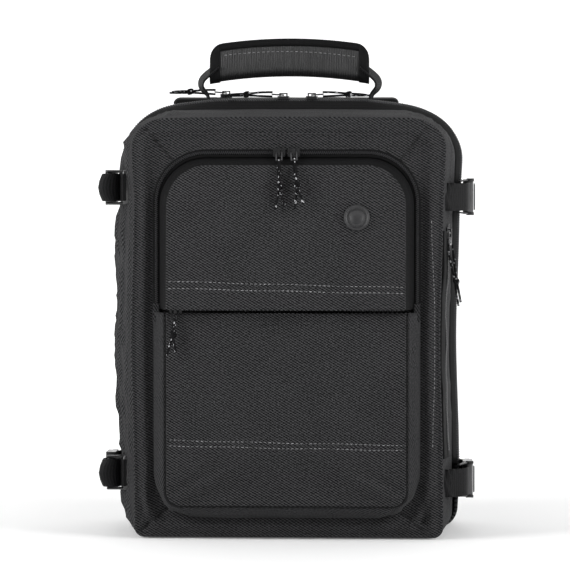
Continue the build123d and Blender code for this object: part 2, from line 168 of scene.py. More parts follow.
def bump(tree, shader, height, strength, distance):
    node = tree.nodes.new("ShaderNodeBump")
    node.inputs["Strength"].default_value = strength
    node.inputs["Distance"].default_value = distance
    tree.links.new(height, node.inputs["Height"])
    tree.links.new(node.outputs[0], shader.inputs["Normal"])


def weave_axes(tree, period_u, period_v):
    """The UVs, and both of their axes as angles that turn once in each period."""
    uv = tree.nodes.new("ShaderNodeUVMap").outputs[0]
    parts = tree.nodes.new("ShaderNodeSeparateXYZ")
    tree.links.new(uv, parts.inputs[0])
    return (uv, math_node(tree, "MULTIPLY", parts.outputs[0], 2 * pi / period_u),
            math_node(tree, "MULTIPLY", parts.outputs[1], 2 * pi / period_v))


def centred(tree, value, gain):
    """A noise value moved round zero and scaled."""
    return math_node(tree, "MULTIPLY", math_node(tree, "SUBTRACT", value, 0.5), gain)


def woven(name, dark, light, period_u, period_v, roughness=0.85, sheen=0.03, twill=0.5,
          height=0.0003, speckle=0.5, worn=0.2, specular=0.08, gain=0.45):
    """Cloth with warp and weft along its UVs, which are in metres."""
    made, tree, shader = material(name, roughness, sheen, specular=specular)
    uv, u, v = weave_axes(tree, period_u, period_v)
    plain = math_node(tree, "MULTIPLY", math_node(tree, "SINE", u), math_node(tree, "SINE", v))
    diagonal = math_node(tree, "SINE", math_node(tree, "ADD", u, v))
    pattern = math_node(tree, "ADD", math_node(tree, "MULTIPLY", plain, 1 - twill),
                        math_node(tree, "MULTIPLY", diagonal, twill))
    grain = noise_node(tree, uv, 1.3 / min(period_u, period_v), 2)
    blotch = noise_node(tree, uv, 28, 4)
    level = math_node(tree, "MULTIPLY_ADD", pattern, gain, 0.42)
    level = math_node(tree, "ADD", level, centred(tree, grain, speckle * 1.6))
    level = math_node(tree, "ADD", level, centred(tree, blotch, worn))
    tree.links.new(colour_ramp(tree, level, dark, light), shader.inputs["Base Color"])
    relief = math_node(tree, "ADD", pattern, math_node(tree, "MULTIPLY", grain, 0.8))
    bump(tree, shader, relief, 0.5, height)
    return made


def ribbed(name, dark, light, rib=0.0021, across=0.0009, gloss=0.55):
    """Webbing or grosgrain: ribs across its length, which runs along U."""
    made, tree, shader = material(name, gloss, 0.0, specular=0.12)
    uv, u, v = weave_axes(tree, rib, across)
    pattern = math_node(tree, "ADD",
                        math_node(tree, "MULTIPLY", math_node(tree, "SINE", u), 0.3),
                        math_node(tree, "MULTIPLY", math_node(tree, "SINE", v), 0.14))
    level = math_node(tree, "ADD", pattern, noise_node(tree, uv, 700, 2))
    tree.links.new(colour_ramp(tree, level, dark, light), shader.inputs["Base Color"])
    bump(tree, shader, level, 0.6, 0.0003)
    return made


def solid_look(name, colour, roughness, grain=900, strength=0.15, spread=(0.75, 1.3),
               patch=60, **sockets):
    """Plastic, rubber or metal with a fine grain and slight change of tone."""
    made, tree, shader = material(name, roughness, **sockets)
    where = tree.nodes.new("ShaderNodeTexCoord").outputs["Object"]
    fine = noise_node(tree, where, grain, 3)
    broad = noise_node(tree, where, patch, 3)
    darker = tuple(c * spread[0] for c in colour)
    lighter = tuple(c * spread[1] for c in colour)
    tree.links.new(colour_ramp(tree, broad, darker, lighter, 0.3, 0.7),
                   shader.inputs["Base Color"])
    rough = math_node(tree, "MULTIPLY_ADD", fine, 0.2, max(roughness - 0.1, 0.02))
    tree.links.new(rough, shader.inputs["Roughness"])
    bump(tree, shader, fine, strength, 0.0002)
    return made


def spacer_mesh(name, dark, light, pitch=0.0042):
    """Air mesh: rows of round cells."""
    made, tree, shader = material(name, 0.8, 0.02, specular=0.1)
    where = tree.nodes.new("ShaderNodeTexCoord").outputs["Object"]
    cells = tree.nodes.new("ShaderNodeTexVoronoi")
    cells.inputs["Scale"].default_value = 1 / pitch
    cells.inputs["Randomness"].default_value = 0.25
    tree.links.new(where, cells.inputs["Vector"])
    distance = cells.outputs["Distance"]
    tree.links.new(colour_ramp(tree, distance, dark, light, 0.15, 0.55),
                   shader.inputs["Base Color"])
    bump(tree, shader, distance, 0.9, 0.0012)
    return made


def flecked_cord(name):
    """Braided cord, black with bright reflective threads."""
    made, tree, shader = material(name, 0.7, 0.0, specular=0.1)
    where = tree.nodes.new("ShaderNodeTexCoord").outputs["Object"]
    cells = tree.nodes.new("ShaderNodeTexVoronoi")
    cells.inputs["Scale"].default_value = 620
    tree.links.new(where, cells.inputs["Vector"])
    pick = tree.nodes.new("ShaderNodeSeparateColor")
    tree.links.new(cells.outputs["Color"], pick.inputs[0])
    bright = math_node(tree, "GREATER_THAN", pick.outputs[0], 0.9)
    tree.links.new(colour_ramp(tree, bright, (0.004, 0.004, 0.0045), (0.34, 0.34, 0.35)),
                   shader.inputs["Base Color"])
    bump(tree, shader, cells.outputs["Distance"], 0.8, 0.0005)
    return made


SHELL = woven("shell_cloth", (0.002, 0.002, 0.0022), (0.056, 0.056, 0.0583), 0.0040, 0.0024,
              speckle=0.8, gain=0.75)
TRIM = woven("trim_cloth", (0.0015, 0.0015, 0.0017), (0.009, 0.009, 0.0095), 0.0012, 0.0012,
             roughness=0.6, twill=0.1, height=0.0002)
SLEEVE = woven("sleeve_cloth", (0.003, 0.003, 0.0033), (0.016, 0.016, 0.017), 0.0016, 0.0016,
               roughness=0.4, twill=0.9, height=0.0003, specular=0.35)
GLOSSY = woven("coated_cloth", (0.002, 0.002, 0.0022), (0.006, 0.006, 0.0062), 0.0014, 0.0014,
               roughness=0.3, sheen=0.0, twill=0.1, height=0.0001, specular=0.3)
LINING = woven("lining_cloth", (0.025, 0.026, 0.028), (0.065, 0.067, 0.072), 0.0008, 0.0008,
               roughness=0.6, twill=0.0, height=0.0001)
TAPE = ribbed("zip_tape", (0.0015, 0.0015, 0.0017), (0.009, 0.009, 0.0095), 0.0011, 0.0016, 0.75)
WEBBING = ribbed("webbing", (0.001, 0.001, 0.0011), (0.011, 0.011, 0.0118))
AIR_MESH = spacer_mesh("air_mesh", (0.003, 0.003, 0.0033), (0.03, 0.03, 0.032))
COIL = solid_look("zip_coil", (0.03, 0.03, 0.032), 0.3)
PLASTIC = solid_look("buckle_plastic", (0.009, 0.009, 0.0095), 0.3, coat=0.3)
# pale grey plastic for the plates on the right buckles, also used for strips that are painted
# highlights on their rails
BUCKLE_FACE_AND_HIGHLIGHT = solid_look("buckle_face_and_rail_highlight", (0.07, 0.07, 0.072), 0.35)
RUBBER = solid_look("badge_rubber", (0.014, 0.014, 0.015), 0.5, strength=0.3)
SLIDER = solid_look("slider_paint", (0.012, 0.012, 0.013), 0.33, metallic=0.3)
GUNMETAL = solid_look("tab_gunmetal", (0.06, 0.06, 0.062), 0.3, metallic=1.0)
WIRE = solid_look("tab_wire", (0.42, 0.42, 0.43), 0.25, metallic=1.0)
SHEET = solid_look("frame_plastic", (0.05, 0.05, 0.052), 0.5)
CORD = flecked_cord("pull_cord")
THREAD = solid_look("grey_thread", (0.17, 0.17, 0.175), 0.75, spread=(0.3, 1.7), patch=190)
DARK_THREAD = solid_look("dark_thread", (0.03, 0.03, 0.032), 0.75)
# painted shade: near-black tubes laid where seams fall into shade
SEAM_SHADE = solid_look("seam_shadow", (0.004, 0.004, 0.0045), 0.9)


# ---- building blocks ----
def rounded_path(corners, straight, arc, closed):
    """Points along a line with round corners (x, z, radius): always the same number of them."""
    count = len(corners)
    points = []
    ends = []
    for i, (x, z, radius) in enumerate(corners):
        here = Vector((x, z))
        if not closed and i in (0, count - 1):
            ends.append((here, here, [here]))
            continue
        before = (Vector(corners[i - 1][:2]) - here).normalized()
        after = (Vector(corners[(i + 1) % count][:2]) - here).normalized()
        half = before.angle(after) / 2
        centre = here + (before + after).normalized() * radius / sin(half)
        start = here + before * radius / tan(half)
        end = here + after * radius / tan(half)
        sweep = pi - 2 * half
        turn = 1 if before.x * after.y - before.y * after.x < 0 else -1
        bend = []
        d = start - centre
        for k in range(arc + 1):
            angle = turn * sweep * k / arc
            bend.append(centre + Vector((d.x * cos(angle) - d.y * sin(angle),
                                         d.x * sin(angle) + d.y * cos(angle))))
        ends.append((start, end, bend))
    pairs = range(count) if closed else range(count - 1)
    for i in pairs:
        points += ends[i][2]
        start = ends[i][1]
        end = ends[(i + 1) % count][0]
        points += [start.lerp(end, k / straight) for k in range(1, straight)]
    if not closed:
        points += ends[-1][2]
    return points


def soften(points):
    """The full bag is widest low down, narrower near the top, and its top droops at the sides.
    On the right it is pulled in, and the crest of the outer rims is pressed a little flat."""
    out = []
    for p in points:
        side = smooth((abs(p.x) - 105) / 40)
        wide = 3.2 * bell(p.y - 180, 75) - 2.6 * smooth((p.y - 290) / 70)
        wide -= 3.6 if p.x > 0 else 0
        droop = 3.0 * smooth((p.y - 330) / 40) * (abs(p.x) / 150) ** 3
        droop -= 3.6 * smooth((112 - abs(p.x)) / 50) * smooth((p.y - 387.5) / 3)
        out.append(Vector((p.x + copysign(wide * side, p.x), p.y - droop)))
    return out


def box_path(size, straight=36, arc=16):
    """Closed outline, anticlockwise, with softened sides where it is as wide as the bag."""
    half, low, high, low_radius, high_radius = size
    corners = [(half, low, low_radius), (half, high, high_radius),
               (-half, high, high_radius), (-half, low, low_radius)]
    return soften(rounded_path(corners, straight, arc, True))


def between(first, last, t):
    return tuple(mix(a, b, t) for a, b in zip(first, last))


def inset(size, amount):
    half, low, high, low_radius, high_radius = size
    return (half - amount, low + amount, high - amount, max(low_radius - amount, 2.0),
            max(high_radius - amount, 2.0))


def normals_2d(points, closed):
    """Outward normals of an outline that runs anticlockwise."""
    out = []
    count = len(points)
    for i in range(count):
        before = points[i - 1] if closed or i else points[i]
        after = points[(i + 1) % count] if closed or i < count - 1 else points[i]
        d = (after - before).normalized()
        out.append(Vector((d.y, -d.x)))
    return out


def surface(name, rings, closed, looks, flat_from=None, cap=True, thickness=0.0, lining=None,
            flip=False):
    """Mesh through rings of points in millimetres. looks gives a material, or one per strip.
    UVs are metres along the ring and across it, or X and Z from strip flat_from on."""
    rings = [[Vector(p) * MM for p in ring] for ring in rings]
    size = len(rings[0])
    verts = [p for ring in rings for p in ring]
    along = [0.0]
    for a, b in zip(rings[0], rings[0][1:] + [rings[0][0]]):
        along.append(along[-1] + (b - a).length)
    across = [0.0]
    middle = size // 5
    for a, b in zip(rings, rings[1:]):
        across.append(across[-1] + (b[middle] - a[middle]).length)
    slots = looks if isinstance(looks, list) else [looks] * (len(rings) - 1)
    unique = []
    for look in slots + [lining or slots[0]]:
        if look not in unique:
            unique.append(look)
    faces, uvs, indices = [], [], []
    columns = size if closed else size - 1
    for k in range(len(rings) - 1):
        for j in range(columns):
            n = (j + 1) % size
            corners = (k * size + j, k * size + n, (k + 1) * size + n, (k + 1) * size + j)
            faces.append(corners)
            if flat_from is not None and k >= flat_from:
                uvs += [(verts[c].x, verts[c].z) for c in corners]
            else:
                uvs += [(along[j], across[k]), (along[j + 1], across[k]),
                        (along[j + 1], across[k + 1]), (along[j], across[k + 1])]
            indices.append(unique.index(slots[k]))
    if cap:
        corners = tuple((len(rings) - 1) * size + j for j in range(size))
        faces.append(corners)
        uvs += [(verts[c].x, verts[c].z) for c in corners]
        indices.append(unique.index(slots[-1]))
    mesh = bpy.data.meshes.new(name)
    mesh.from_pydata(verts, [], faces)
    layer = mesh.uv_layers.new(name="UVMap")
    for loop, uv in zip(layer.data, uvs):
        loop.uv = uv
    if flip:
        mesh.flip_normals()
    for look in unique:
        mesh.materials.append(look)
    for polygon, index in zip(mesh.polygons, indices):
        polygon.material_index = index
        polygon.use_smooth = True
    mesh.update()
    made = new_object(name, mesh)
    if thickness:
        modifier = made.modifiers.new("thickness", "SOLIDIFY")
        modifier.thickness = thickness * MM
        modifier.offset = -1
        modifier.use_even_offset = False
        if lining:
            modifier.material_offset = unique.index(lining)
    return made


def face_outward(mesh):
    work = bmesh.new()
    work.from_mesh(mesh)
    bmesh.ops.recalc_face_normals(work, faces=work.faces)
    work.to_mesh(mesh)
    work.free()


class Pieces:
    """Many small solids gathered in one mesh."""

    def __init__(self):
        self.verts, self.faces = [], []

    def add(self, verts, faces):
        start = len(self.verts)
        self.verts += verts
        self.faces += [tuple(start + i for i in face) for face in faces]

    def make(self, name, look, body, flat=False):
        mesh = bpy.data.meshes.new(name)
        mesh.from_pydata([v * MM for v in self.verts], [], self.faces)
        face_outward(mesh)
        mesh.materials.append(look)
        for polygon in mesh.polygons:
            polygon.use_smooth = not flat
        mesh.update()
        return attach(new_object(name, mesh), body)


def tube_rings(points, radii, sides=8):
    """Rings of a closed tube along points, with a radius at each."""
    rings = []
    reference = Vector((0.31, 0.47, 0.83))
    for i, p in enumerate(points):
        d = (points[min(i + 1, len(points) - 1)] - points[max(i - 1, 0)]).normalized()
        side = d.cross(reference).normalized()
        up = side.cross(d).normalized()
        rings.append([p + (side * cos(a) + up * sin(a)) * radii[i]
                      for a in [2 * pi * k / sides for k in range(sides)]])
    return rings


def ring_faces(rows, sides):
    faces = [(k * sides + j, k * sides + (j + 1) % sides, (k + 1) * sides + (j + 1) % sides,
              (k + 1) * sides + j) for k in range(rows - 1) for j in range(sides)]
    faces.append(tuple(reversed(range(sides))))
    faces.append(tuple((rows - 1) * sides + j for j in range(sides)))
    return faces


def add_tube(pieces, points, radii, sides=8):
    rings = tube_rings(points, radii, sides)
    pieces.add([p for ring in rings for p in ring], ring_faces(len(rings), sides))


def resample(points, pitch):
    """Points and directions at even steps along a line."""
    lengths = [0.0]
    for a, b in zip(points, points[1:]):
        lengths.append(lengths[-1] + (b - a).length)
    count = max(int(lengths[-1] / pitch), 1)
    out = []
    k = 0
    for i in range(count):
        target = (i + 0.5) * lengths[-1] / count
        while k < len(points) - 2 and lengths[k + 1] < target:
            k += 1
        step = lengths[k + 1] - lengths[k]
        t = (target - lengths[k]) / step if step else 0
        out.append((points[k].lerp(points[k + 1], t), (points[k + 1] - points[k]).normalized()))
    return out


def landed(tree, point, direction, lift=0.0):
    """Where a ray meets a surface, in millimetres, with the surface's normal."""
    hit, normal, _, _ = tree.ray_cast(point * MM, direction)
    if hit is None:
        return None
    if normal.dot(direction) > 0:
        normal = -normal
    return hit / MM + normal * lift, normal


def lay_on(tree, points, direction, lift=0.0):
    """A line of points pressed on a surface along a direction."""
    out = []
    for p in points:
        found = landed(tree, p - direction * RAY_START, direction, lift)
        if found:
            out.append(found[0])
    return out


def tree_of(made):
    depsgraph = bpy.context.evaluated_depsgraph_get()
    depsgraph.update()
    return BVHTree.FromObject(made, depsgraph)


def stitches(pieces, tree, points, direction, pitch=4.0, length=2.9, radius=0.34):
    """A row of thread stitches pressed on a surface."""
    for p, d in resample(points, pitch):
        found = landed(tree, p - direction * RAY_START, direction, 0.1)
        if not found:
            continue
        at, normal = found
        run = (d - normal * d.dot(normal)).normalized()
        ends = [at + run * length * t + normal * (-2.24 * t ** 2)
                for t in (-0.5, -0.32, 0, 0.32, 0.5)]
        add_tube(pieces, ends, [radius * 0.45, radius, radius, radius, radius * 0.45], 6)


def teeth(pieces, points, normals, pitch=2.2, across=3.4, along=1.35, high=1.1):
    """A zip's coil: a row of small rounded ribs on a line."""
    for p, d in resample(points, pitch):
        normal = normals(p)
        side = d.cross(normal).normalized()
        for sign in (-1, 1):
            shift = side * sign * across * 0.24 + d * sign * pitch * 0.25
            a, b, c = side * across * 0.30, d * along / 2, normal * high
            low = [p + shift - a - b, p + shift + a - b, p + shift + a + b, p + shift - a + b]
            centre = p + shift
            top = [centre + (v - centre) * 0.62 + c for v in low]
            pieces.add(low + top, [(0, 3, 2, 1), (4, 5, 6, 7), (0, 1, 5, 4), (1, 2, 6, 5),
                                   (2, 3, 7, 6), (3, 0, 4, 7)])


def curve_points(points, steps=8):
    """Smooth line through points."""
    out = []
    count = len(points)
    for i in range(count - 1):
        p0, p1 = points[max(i - 1, 0)], points[i]
        p2, p3 = points[i + 1], points[min(i + 2, count - 1)]
        for k in range(steps):
            t = k / steps
            out.append(0.5 * ((2 * p1) + (p2 - p0) * t + (2 * p0 - 5 * p1 + 4 * p2 - p3) * t * t
                              + (3 * p1 - p0 - 3 * p2 + p3) * t ** 3))
    out.append(points[-1].copy())
    return out


STRIP_SECTION = ((-1, -0.35), (-0.93, -0.5), (-0.5, -0.42), (0, -0.5), (0.5, -0.42),
                 (0.93, -0.5), (1, -0.35), (1, 0.35), (0.93, 0.5), (0.5, 0.42), (0, 0.5),
                 (-0.5, 0.42), (-0.93, 0.5), (-1, 0.35))


def strip(name, points, wide, thick, look, half=WEBBING_HALF, steps=8, twist=None, bulge=None):
    """Webbing along a smooth line. wide is the direction of its width, half its half width (or a
    function of how far along it is), and bulge moves a point given how far along and across."""
    line = curve_points([Vector(p) for p in points], steps)
    rings, halves = [], []
    for i, p in enumerate(line):
        t = i / (len(line) - 1)
        d = (line[min(i + 1, len(line) - 1)] - line[max(i - 1, 0)]).normalized()
        across = Vector(wide)
        across = (across - d * across.dot(d)).normalized()
        if twist:
            across = Matrix.Rotation(twist(t), 3, d) @ across
        up = d.cross(across).normalized()
        halves.append(half(t) if callable(half) else half)
        rings.append([p + across * u * halves[-1] + up * v * thick
                      + (bulge(t, u) if bulge else Vector()) for u, v in STRIP_SECTION])
    size = len(STRIP_SECTION)
    mesh = bpy.data.meshes.new(name)
    mesh.from_pydata([p * MM for ring in rings for p in ring], [], ring_faces(len(rings), size))
    face_outward(mesh)
    layer = mesh.uv_layers.new(name="UVMap")
    lengths = [0.0]
    for a, b in zip(line, line[1:]):
        lengths.append(lengths[-1] + (b - a).length)
    for polygon in mesh.polygons:
        polygon.use_smooth = len(polygon.vertices) == 4
        for loop in polygon.loop_indices:
            row, column = divmod(mesh.loops[loop].vertex_index, size)
            layer.data[loop].uv = (lengths[row] * MM,
                                   STRIP_SECTION[column][0] * halves[row] * MM)
    mesh.materials.append(look)
    mesh.update()
    return new_object(name, mesh)


def join(name, objects):
    bpy.ops.object.select_all(action="DESELECT")
    for o in objects:
        o.select_set(True)
    bpy.context.view_layer.objects.active = objects[0]
    bpy.ops.object.join()
    objects[0].name = name
    objects[0].data.name = name
    return objects[0]


# ---- front half: side wall and ring ----
def cloth_wave(x, z, seed, size=55.0):
    return noise.noise(Vector((x / size, z / size, seed)))


def side_wall_rings(first, last, start_y, end_y, rows, belly, crease, seed, slack=None):
    """Rings of a side wall between two outlines, bulged and creased."""
    rings = []
    for k in range(rows + 1):
        t = k / rows
        points = box_path(between(first, last, t))
        out = normals_2d(points, True)
        y = mix(start_y, end_y, t)
        ring = []
        for p, n in zip(points, out):
            free = smooth(p.y / 40) * sin(pi * t) ** 0.7
            push = belly * free + (slack(n, p.y, t) if slack else 0)
            push += crease * free * (fold(p.y / 46 + 7 * n.x, t * 1.6 + seed, seed) - 0.3)
            push += 0.5 * crease * free * noise.noise(Vector((p.x / 20, p.y / 14, t * 3 + seed)))
            shift = 1.2 * free * noise.noise(Vector((p.x / 60, p.y / 60, seed + 3)))
            ring.append(Vector((p.x + n.x * push, y + shift, max(p.y + n.y * push, 0.6))))
        rings.append(ring)
    return rings


def left_slack(n, z, t):
    """On the left the gusset hangs over the main zip, with long creases up its side."""
    fullness = 8 + 5.5 * bell(z - 272, 50) + 4 * bell(z - 150, 60) + 3 * bell(z - 30, 25)
    fullness *= 1 - 0.55 * bell(z - STRAPS[0][1], 20) - 0.35 * bell(z - STRAPS[1][1], 18)
    fullness *= smooth((z - 4) / 30) * smooth((372 - z) / 45)
    lines = 3.0 * fold(z / 90, t * 4.6, 12.0, 5) + 2.2 * fold(z / 30, t * 2.6 + z / 80, 3.0, 6)
    shape = smooth(t / 0.13) * (1 - t) ** 0.8
    return max(-n.x, 0) ** 2 * (fullness * shape + lines * sin(pi * t) ** 0.5)


def ring_crown(d, width=11.5):
    """The ring's face is padded: how far it stands out at a distance from its outer edge."""
    t = min(max(d / width, 0), 1)
    return 3.8 * sin(pi * t ** 1.5) ** 0.8


def corner_pucker(x, z):
    """Seams cross the ring at its corners and pull it in."""
    dip = 0.0
    for (x0, z0), (x1, z1) in MITRES:
        a, b = Vector((x0, z0)), Vector((x1, z1))
        d = (b - a).normalized()
        off = Vector((x, z)) - a
        if -8 < off.dot(d) < (b - a).length + 8:
            dip += 2.2 * bell(abs(off.x * d.y - off.y * d.x), 2.4)
    return dip


MITRES = (((-127, 368), (-97, 333)), ((125, 368), (96, 333)), ((-132, 6), (-107, 27)),
          ((128, 4), (101, 25)))
PINCHES = (((124, 34), (113, 13), 4.0), ((129, 31), (121, 13), -2.6), ((-126, 36), (-118, 14), 3.4),
           ((-131, 30), (-125, 12), -2.2), ((84, 11), (104, 19), 2.4), ((-84, 12), (-106, 21), 2.2),
           ((122, 60), (127, 40), 1.6), ((-122, 70), (-127, 44), 1.6))


def pinched(x, z):
    """Folds where the cloth is gathered beside the bottom corners."""
    push = 0.0
    for a, b, height in PINCHES:
        a, b, here = Vector(a), Vector(b), Vector((x, z))
        run = b - a
        t = min(max((here - a).dot(run) / run.length_squared, 0), 1)
        push += 1.5 * height * bell((here - a - run * t).length, 3.6)
    return push


def front_shell():
    rings = [upright(box_path(inset(FRONT_RIM, 0.6)), RIM_FRONT_Y)]
    rings.append(upright(box_path(inset(FRONT_RIM, 0.6)), LIP_Y + 1.5))
    rings += side_wall_rings(inset(FRONT_RIM, 0.2), FRONT_RING, LIP_Y, RING_Y + 2.0, 26, 2.2,
                             1.9, 4.0, left_slack)
    # the seam between wall and ring stands up a little, then the padded ring turns in
    for amount, y in ((-0.5, RING_Y + 0.6), (-0.7, RING_Y - 0.6), (0.0, RING_Y - 1.5),
                      (1.4, RING_Y - 1.3), (2.6, RING_Y - 1.1)):
        rings.append([Vector((p.x, y, max(p.y, 0.6)))
                      for p in box_path(inset(FRONT_RING, amount))])
    flat_from = len(rings) - 3
    depth = [3.6, 5, 6.5, 8.5, 11, 13.5, 16, 18.5, 21, 24, 27, 31, 36, 44, 60, 85, 110, 128]
    for amount in depth:
        ring = []
        for p in box_path(inset(FRONT_RING, amount)):
            y = RING_Y - 1.0 - ring_crown(amount - 2.6) + corner_pucker(p.x, p.y)
            y -= pinched(p.x, p.y) * smooth((amount - 2.6) / 3)
            y += 0.5 * cloth_wave(p.x, p.y, 2.0, 30) * smooth((amount - 3) / 4)
            ring.append(Vector((p.x, y, p.y)))
        rings.append(ring)
    made = surface("front_shell_cloth", rings, True, SHELL, flat_from, True, SHELL_THICK, LINING)
    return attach(made, "front_half")


front_cloth = front_shell()
claim(front_cloth, "shell_fabric", "front_shell")
front_tree = tree_of(front_cloth)


# ---- front pocket, lower part: gusset and slip pocket panel ----
def u_path(half, low, top, radius, straight=30, arc=16):
    """From the top left down, along the bottom and up to the top right."""
    return rounded_path([(-half, top, 0), (-half, low, radius), (half, low, radius),
                         (half, top, 0)], straight, arc, False)


def lower_face(x, z):
    """How far the slip pocket's panel stands out over its flat depth."""
    edge = min(107 - abs(x), z - 31)
    push = 3.4 * smooth(edge / 60) + 0.8 * smooth(edge / 6)
    push += 3.2 * cloth_wave(x, z, 9.0, 60) * smooth(edge / 20)
    push += 0.8 * cloth_wave(x, z, 5.0, 22) * smooth(edge / 12)
    # soft folds run up from the bottom corners
    for side in (-1, 1):
        along = (z - 31) - 0.55 * (107 - side * x)
        near = hypot(107 - side * x, z - 31)
        push += 4.2 * bell(along, 4.6) * bell(near - 36, 28)
        push -= 3.2 * bell(along - 10, 4.6) * bell(near - 34, 24)
    push -= 1.0 * bell(z - 85.6 + 0.0175 * x, 4.5) * smooth(edge / 8)
    return push


def pocket_lower():
    rings = []
    rows = 9
    for k in range(rows + 1):
        t = k / rows
        half, low, radius = between(POCKET_BASE, POCKET_EDGE, t)
        path = u_path(half, low, POCKET_TOP, radius)
        out = normals_2d(path, False)
        ring = []
        for p, n in zip(path, out):
            free = sin(pi * t)
            push = 1.6 * free + 2.1 * free * (fold(p.y / 30 + 3 * n.x, p.x / 40, 6.0) - 0.3)
            ring.append(Vector((p.x + n.x * push, mix(-82.6, -101.2, t), p.y + n.y * push)))
        rings.append(ring)
    flat_from = len(rings)
    for half, low, radius, y in ((108.0, 30.0, 13.5, -100.2), (107.0, 31.0, 13, -100.2),
                                 (106.6, 31.4, 13, -102.9), (105.2, 32.8, 12, -102.9)):
        rings.append(upright(u_path(half, low, POCKET_TOP, radius), y))
    for s in [0.02, 0.035, 0.055, 0.08, 0.11, 0.145, 0.18, 0.22, 0.26, 0.31, 0.36, 0.42,
              0.48, 0.55, 0.62, 0.7, 0.78, 0.86, 0.93, 0.985]:
        half, low = 105.2 * (1 - s), mix(32.8, POCKET_TOP, s)
        path = u_path(half, low, POCKET_TOP, max(12 * (1 - s), 1))
        rings.append([Vector((p.x, POCKET_FACE_Y - lower_face(p.x, p.y), p.y)) for p in path])
    made = surface("slip_pocket_cloth", rings, False, SHELL, flat_from, True, 1.8, LINING)
    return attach(made, "front_half")


lower_cloth = pocket_lower()
claim(lower_cloth, "shell_fabric", "pocket_gusset", "slip_panel")
lower_tree = tree_of(lower_cloth)


# ---- front flap: black zip band round its edge, face and hem ----
def arch_path(half, top, low, radius, straight=30, arc=18):
    """From the bottom right up, over the top and down to the bottom left."""
    return rounded_path([(half, low, 0), (half, top, radius), (-half, top, radius),
                         (-half, low, 0)], straight, arc, False)


def flap_depth(z):
    return mix(-109.0, -95.6, (z - SPLIT_Z) / 126.0)


def flap_face(x, z):
    edge = min(105.5 - abs(x), 334.5 - z)
    push = 3.0 * smooth(edge / 55) + 0.7 * smooth(edge / 5)
    push += 2.2 * cloth_wave(x, z, 21.0, 62) * smooth(edge / 22)
    push += 0.7 * cloth_wave(x, z, 12.0, 24) * smooth(edge / 12)
    push -= 0.8 * bell(z - 226.2 + 0.023 * x, 4.5) * smooth(edge / 8)
    push += 0.8 * bell(z - SPLIT_Z, 6) * (1 + 0.6 * sin(x / 13.0))
    return push


def front_flap():
    rings = []
    looks = []
    half, top, radius = FLAP_BASE
    for amount, y in ((0.2, -84.8), (0.9, -87.2)):
        rings.append(upright(arch_path(half - amount, top - amount, SPLIT_Z, radius - amount), y))
        looks.append(TAPE)
    rows = 5
    for k in range(1, rows + 1):
        t = k / rows
        path = arch_path(mix(112.9, 107.2, t), mix(340.3, 336.0, t), SPLIT_Z, mix(41, 37, t))
        rings.append([Vector((p.x, mix(-87.2, flap_depth(p.y) + 0.8, t)
                              - 1.4 * sin(pi * t), p.y)) for p in path])
        looks.append(TAPE)
    # the face cloth is folded under along its edge and sewn on the band
    for half, top, lift in ((106.4, 334.9, -0.2), (106.2, 334.7, -1.7), (104.8, 333.3, -2.1),
                            (FLAP_FACE[0], FLAP_FACE[1], -1.6)):
        path = arch_path(half, top, SPLIT_Z, FLAP_FACE[2])
        rings.append([Vector((p.x, flap_depth(p.y) + lift, p.y)) for p in path])
        looks.append(SHELL)
    flat_from = len(rings) - 4
    for s in [0.02, 0.04, 0.065, 0.09, 0.12, 0.155, 0.19, 0.23, 0.275, 0.325, 0.38, 0.44,
              0.5, 0.57, 0.64, 0.72, 0.8, 0.88, 0.94, 0.985]:
        half, top = FLAP_FACE[0] * (1 - s), mix(FLAP_FACE[1], SPLIT_Z, s)
        path = arch_path(half, top, SPLIT_Z, max(FLAP_FACE[2] * (1 - s), 1))
        rings.append([Vector((p.x, flap_depth(p.y) - 1.0 - flap_face(p.x, p.y), p.y))
                      for p in path])
        looks.append(SHELL)
    made = surface("front_flap_cloth", rings, False, looks[:len(rings) - 1], flat_from, True, 1.6,
                   LINING)
    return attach(made, "flap")


flap_cloth = front_flap()
claim(flap_cloth, "shell_fabric", "front_flap", "flap_zip_tape")
flap_tree = tree_of(flap_cloth)


# ---- rear half ----
def rear_shell():
    rings = [upright(box_path(inset(REAR_RIM, 0.4)), -3.6)]
    rings.append(upright(box_path(inset(REAR_RIM, 0.4)), 7.0))
    rings += side_wall_rings(REAR_RIM, inset(REAR_RIM, 1.5), 9.0, BACK_Y - 9, 20, 1.0, 2.0, 31.0)
    looks = [SHELL] * (len(rings) - 1)
    for k in range(1, 7):
        a = pi / 2 * k / 6
        rings.append([Vector((p.x, BACK_Y - 9 + 9 * sin(a), max(p.y, 0.6)))
                      for p in box_path(inset(REAR_RIM, 1.5 + 9 * (1 - cos(a))))])
        looks.append(SHELL)
    flat_from = len(rings) - 2
    for amount in [13, 17, 22, 30, 40, 55, 75, 100, 130, 150]:
        rings.append([Vector((p.x, BACK_Y + 0.6 * cloth_wave(p.x, p.y, 8.0, 35), p.y))
                      for p in box_path(inset(REAR_RIM, amount))])
        looks.append(TRIM)
    made = surface("rear_shell_cloth", rings, True, looks, flat_from, True, SHELL_THICK, LINING, True)
    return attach(made, "pack")


rear_cloth = rear_shell()
claim(rear_cloth, "shell_fabric", "rear_shell")

# ---- CAD pieces that keep their own shape ----
def dress(node, look, bevel=0.35):
    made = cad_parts[node]
    made.data.materials.clear()
    made.data.materials.append(look)
    weld = made.modifiers.new("weld", "WELD")
    weld.merge_threshold = 0.00001
    edge = made.modifiers.new("bevel", "BEVEL")
    edge.width = bevel * MM
    edge.segments = 2
    edge.limit_method = "ANGLE"
    edge.angle_limit = radians(35)


ZIP_NAMES = ("main_left", "main_right", "laptop", "front_left", "front_right", "slip", "side")
for zip_name in ZIP_NAMES:
    dress("slider_" + zip_name, SLIDER, 0.5)
    dress("tab_" + zip_name, WIRE if zip_name == "side" else GUNMETAL, 0.3)
for strap_name in ("left_upper", "left_lower", "right_upper", "right_lower"):
    dress("buckle_" + strap_name, PLASTIC)
for side_name in ("left", "right"):
    dress("ladder_lock_" + side_name, PLASTIC)
dress("buckle_housings", PLASTIC, 0.8)
dress("frame_sheet", SHEET)


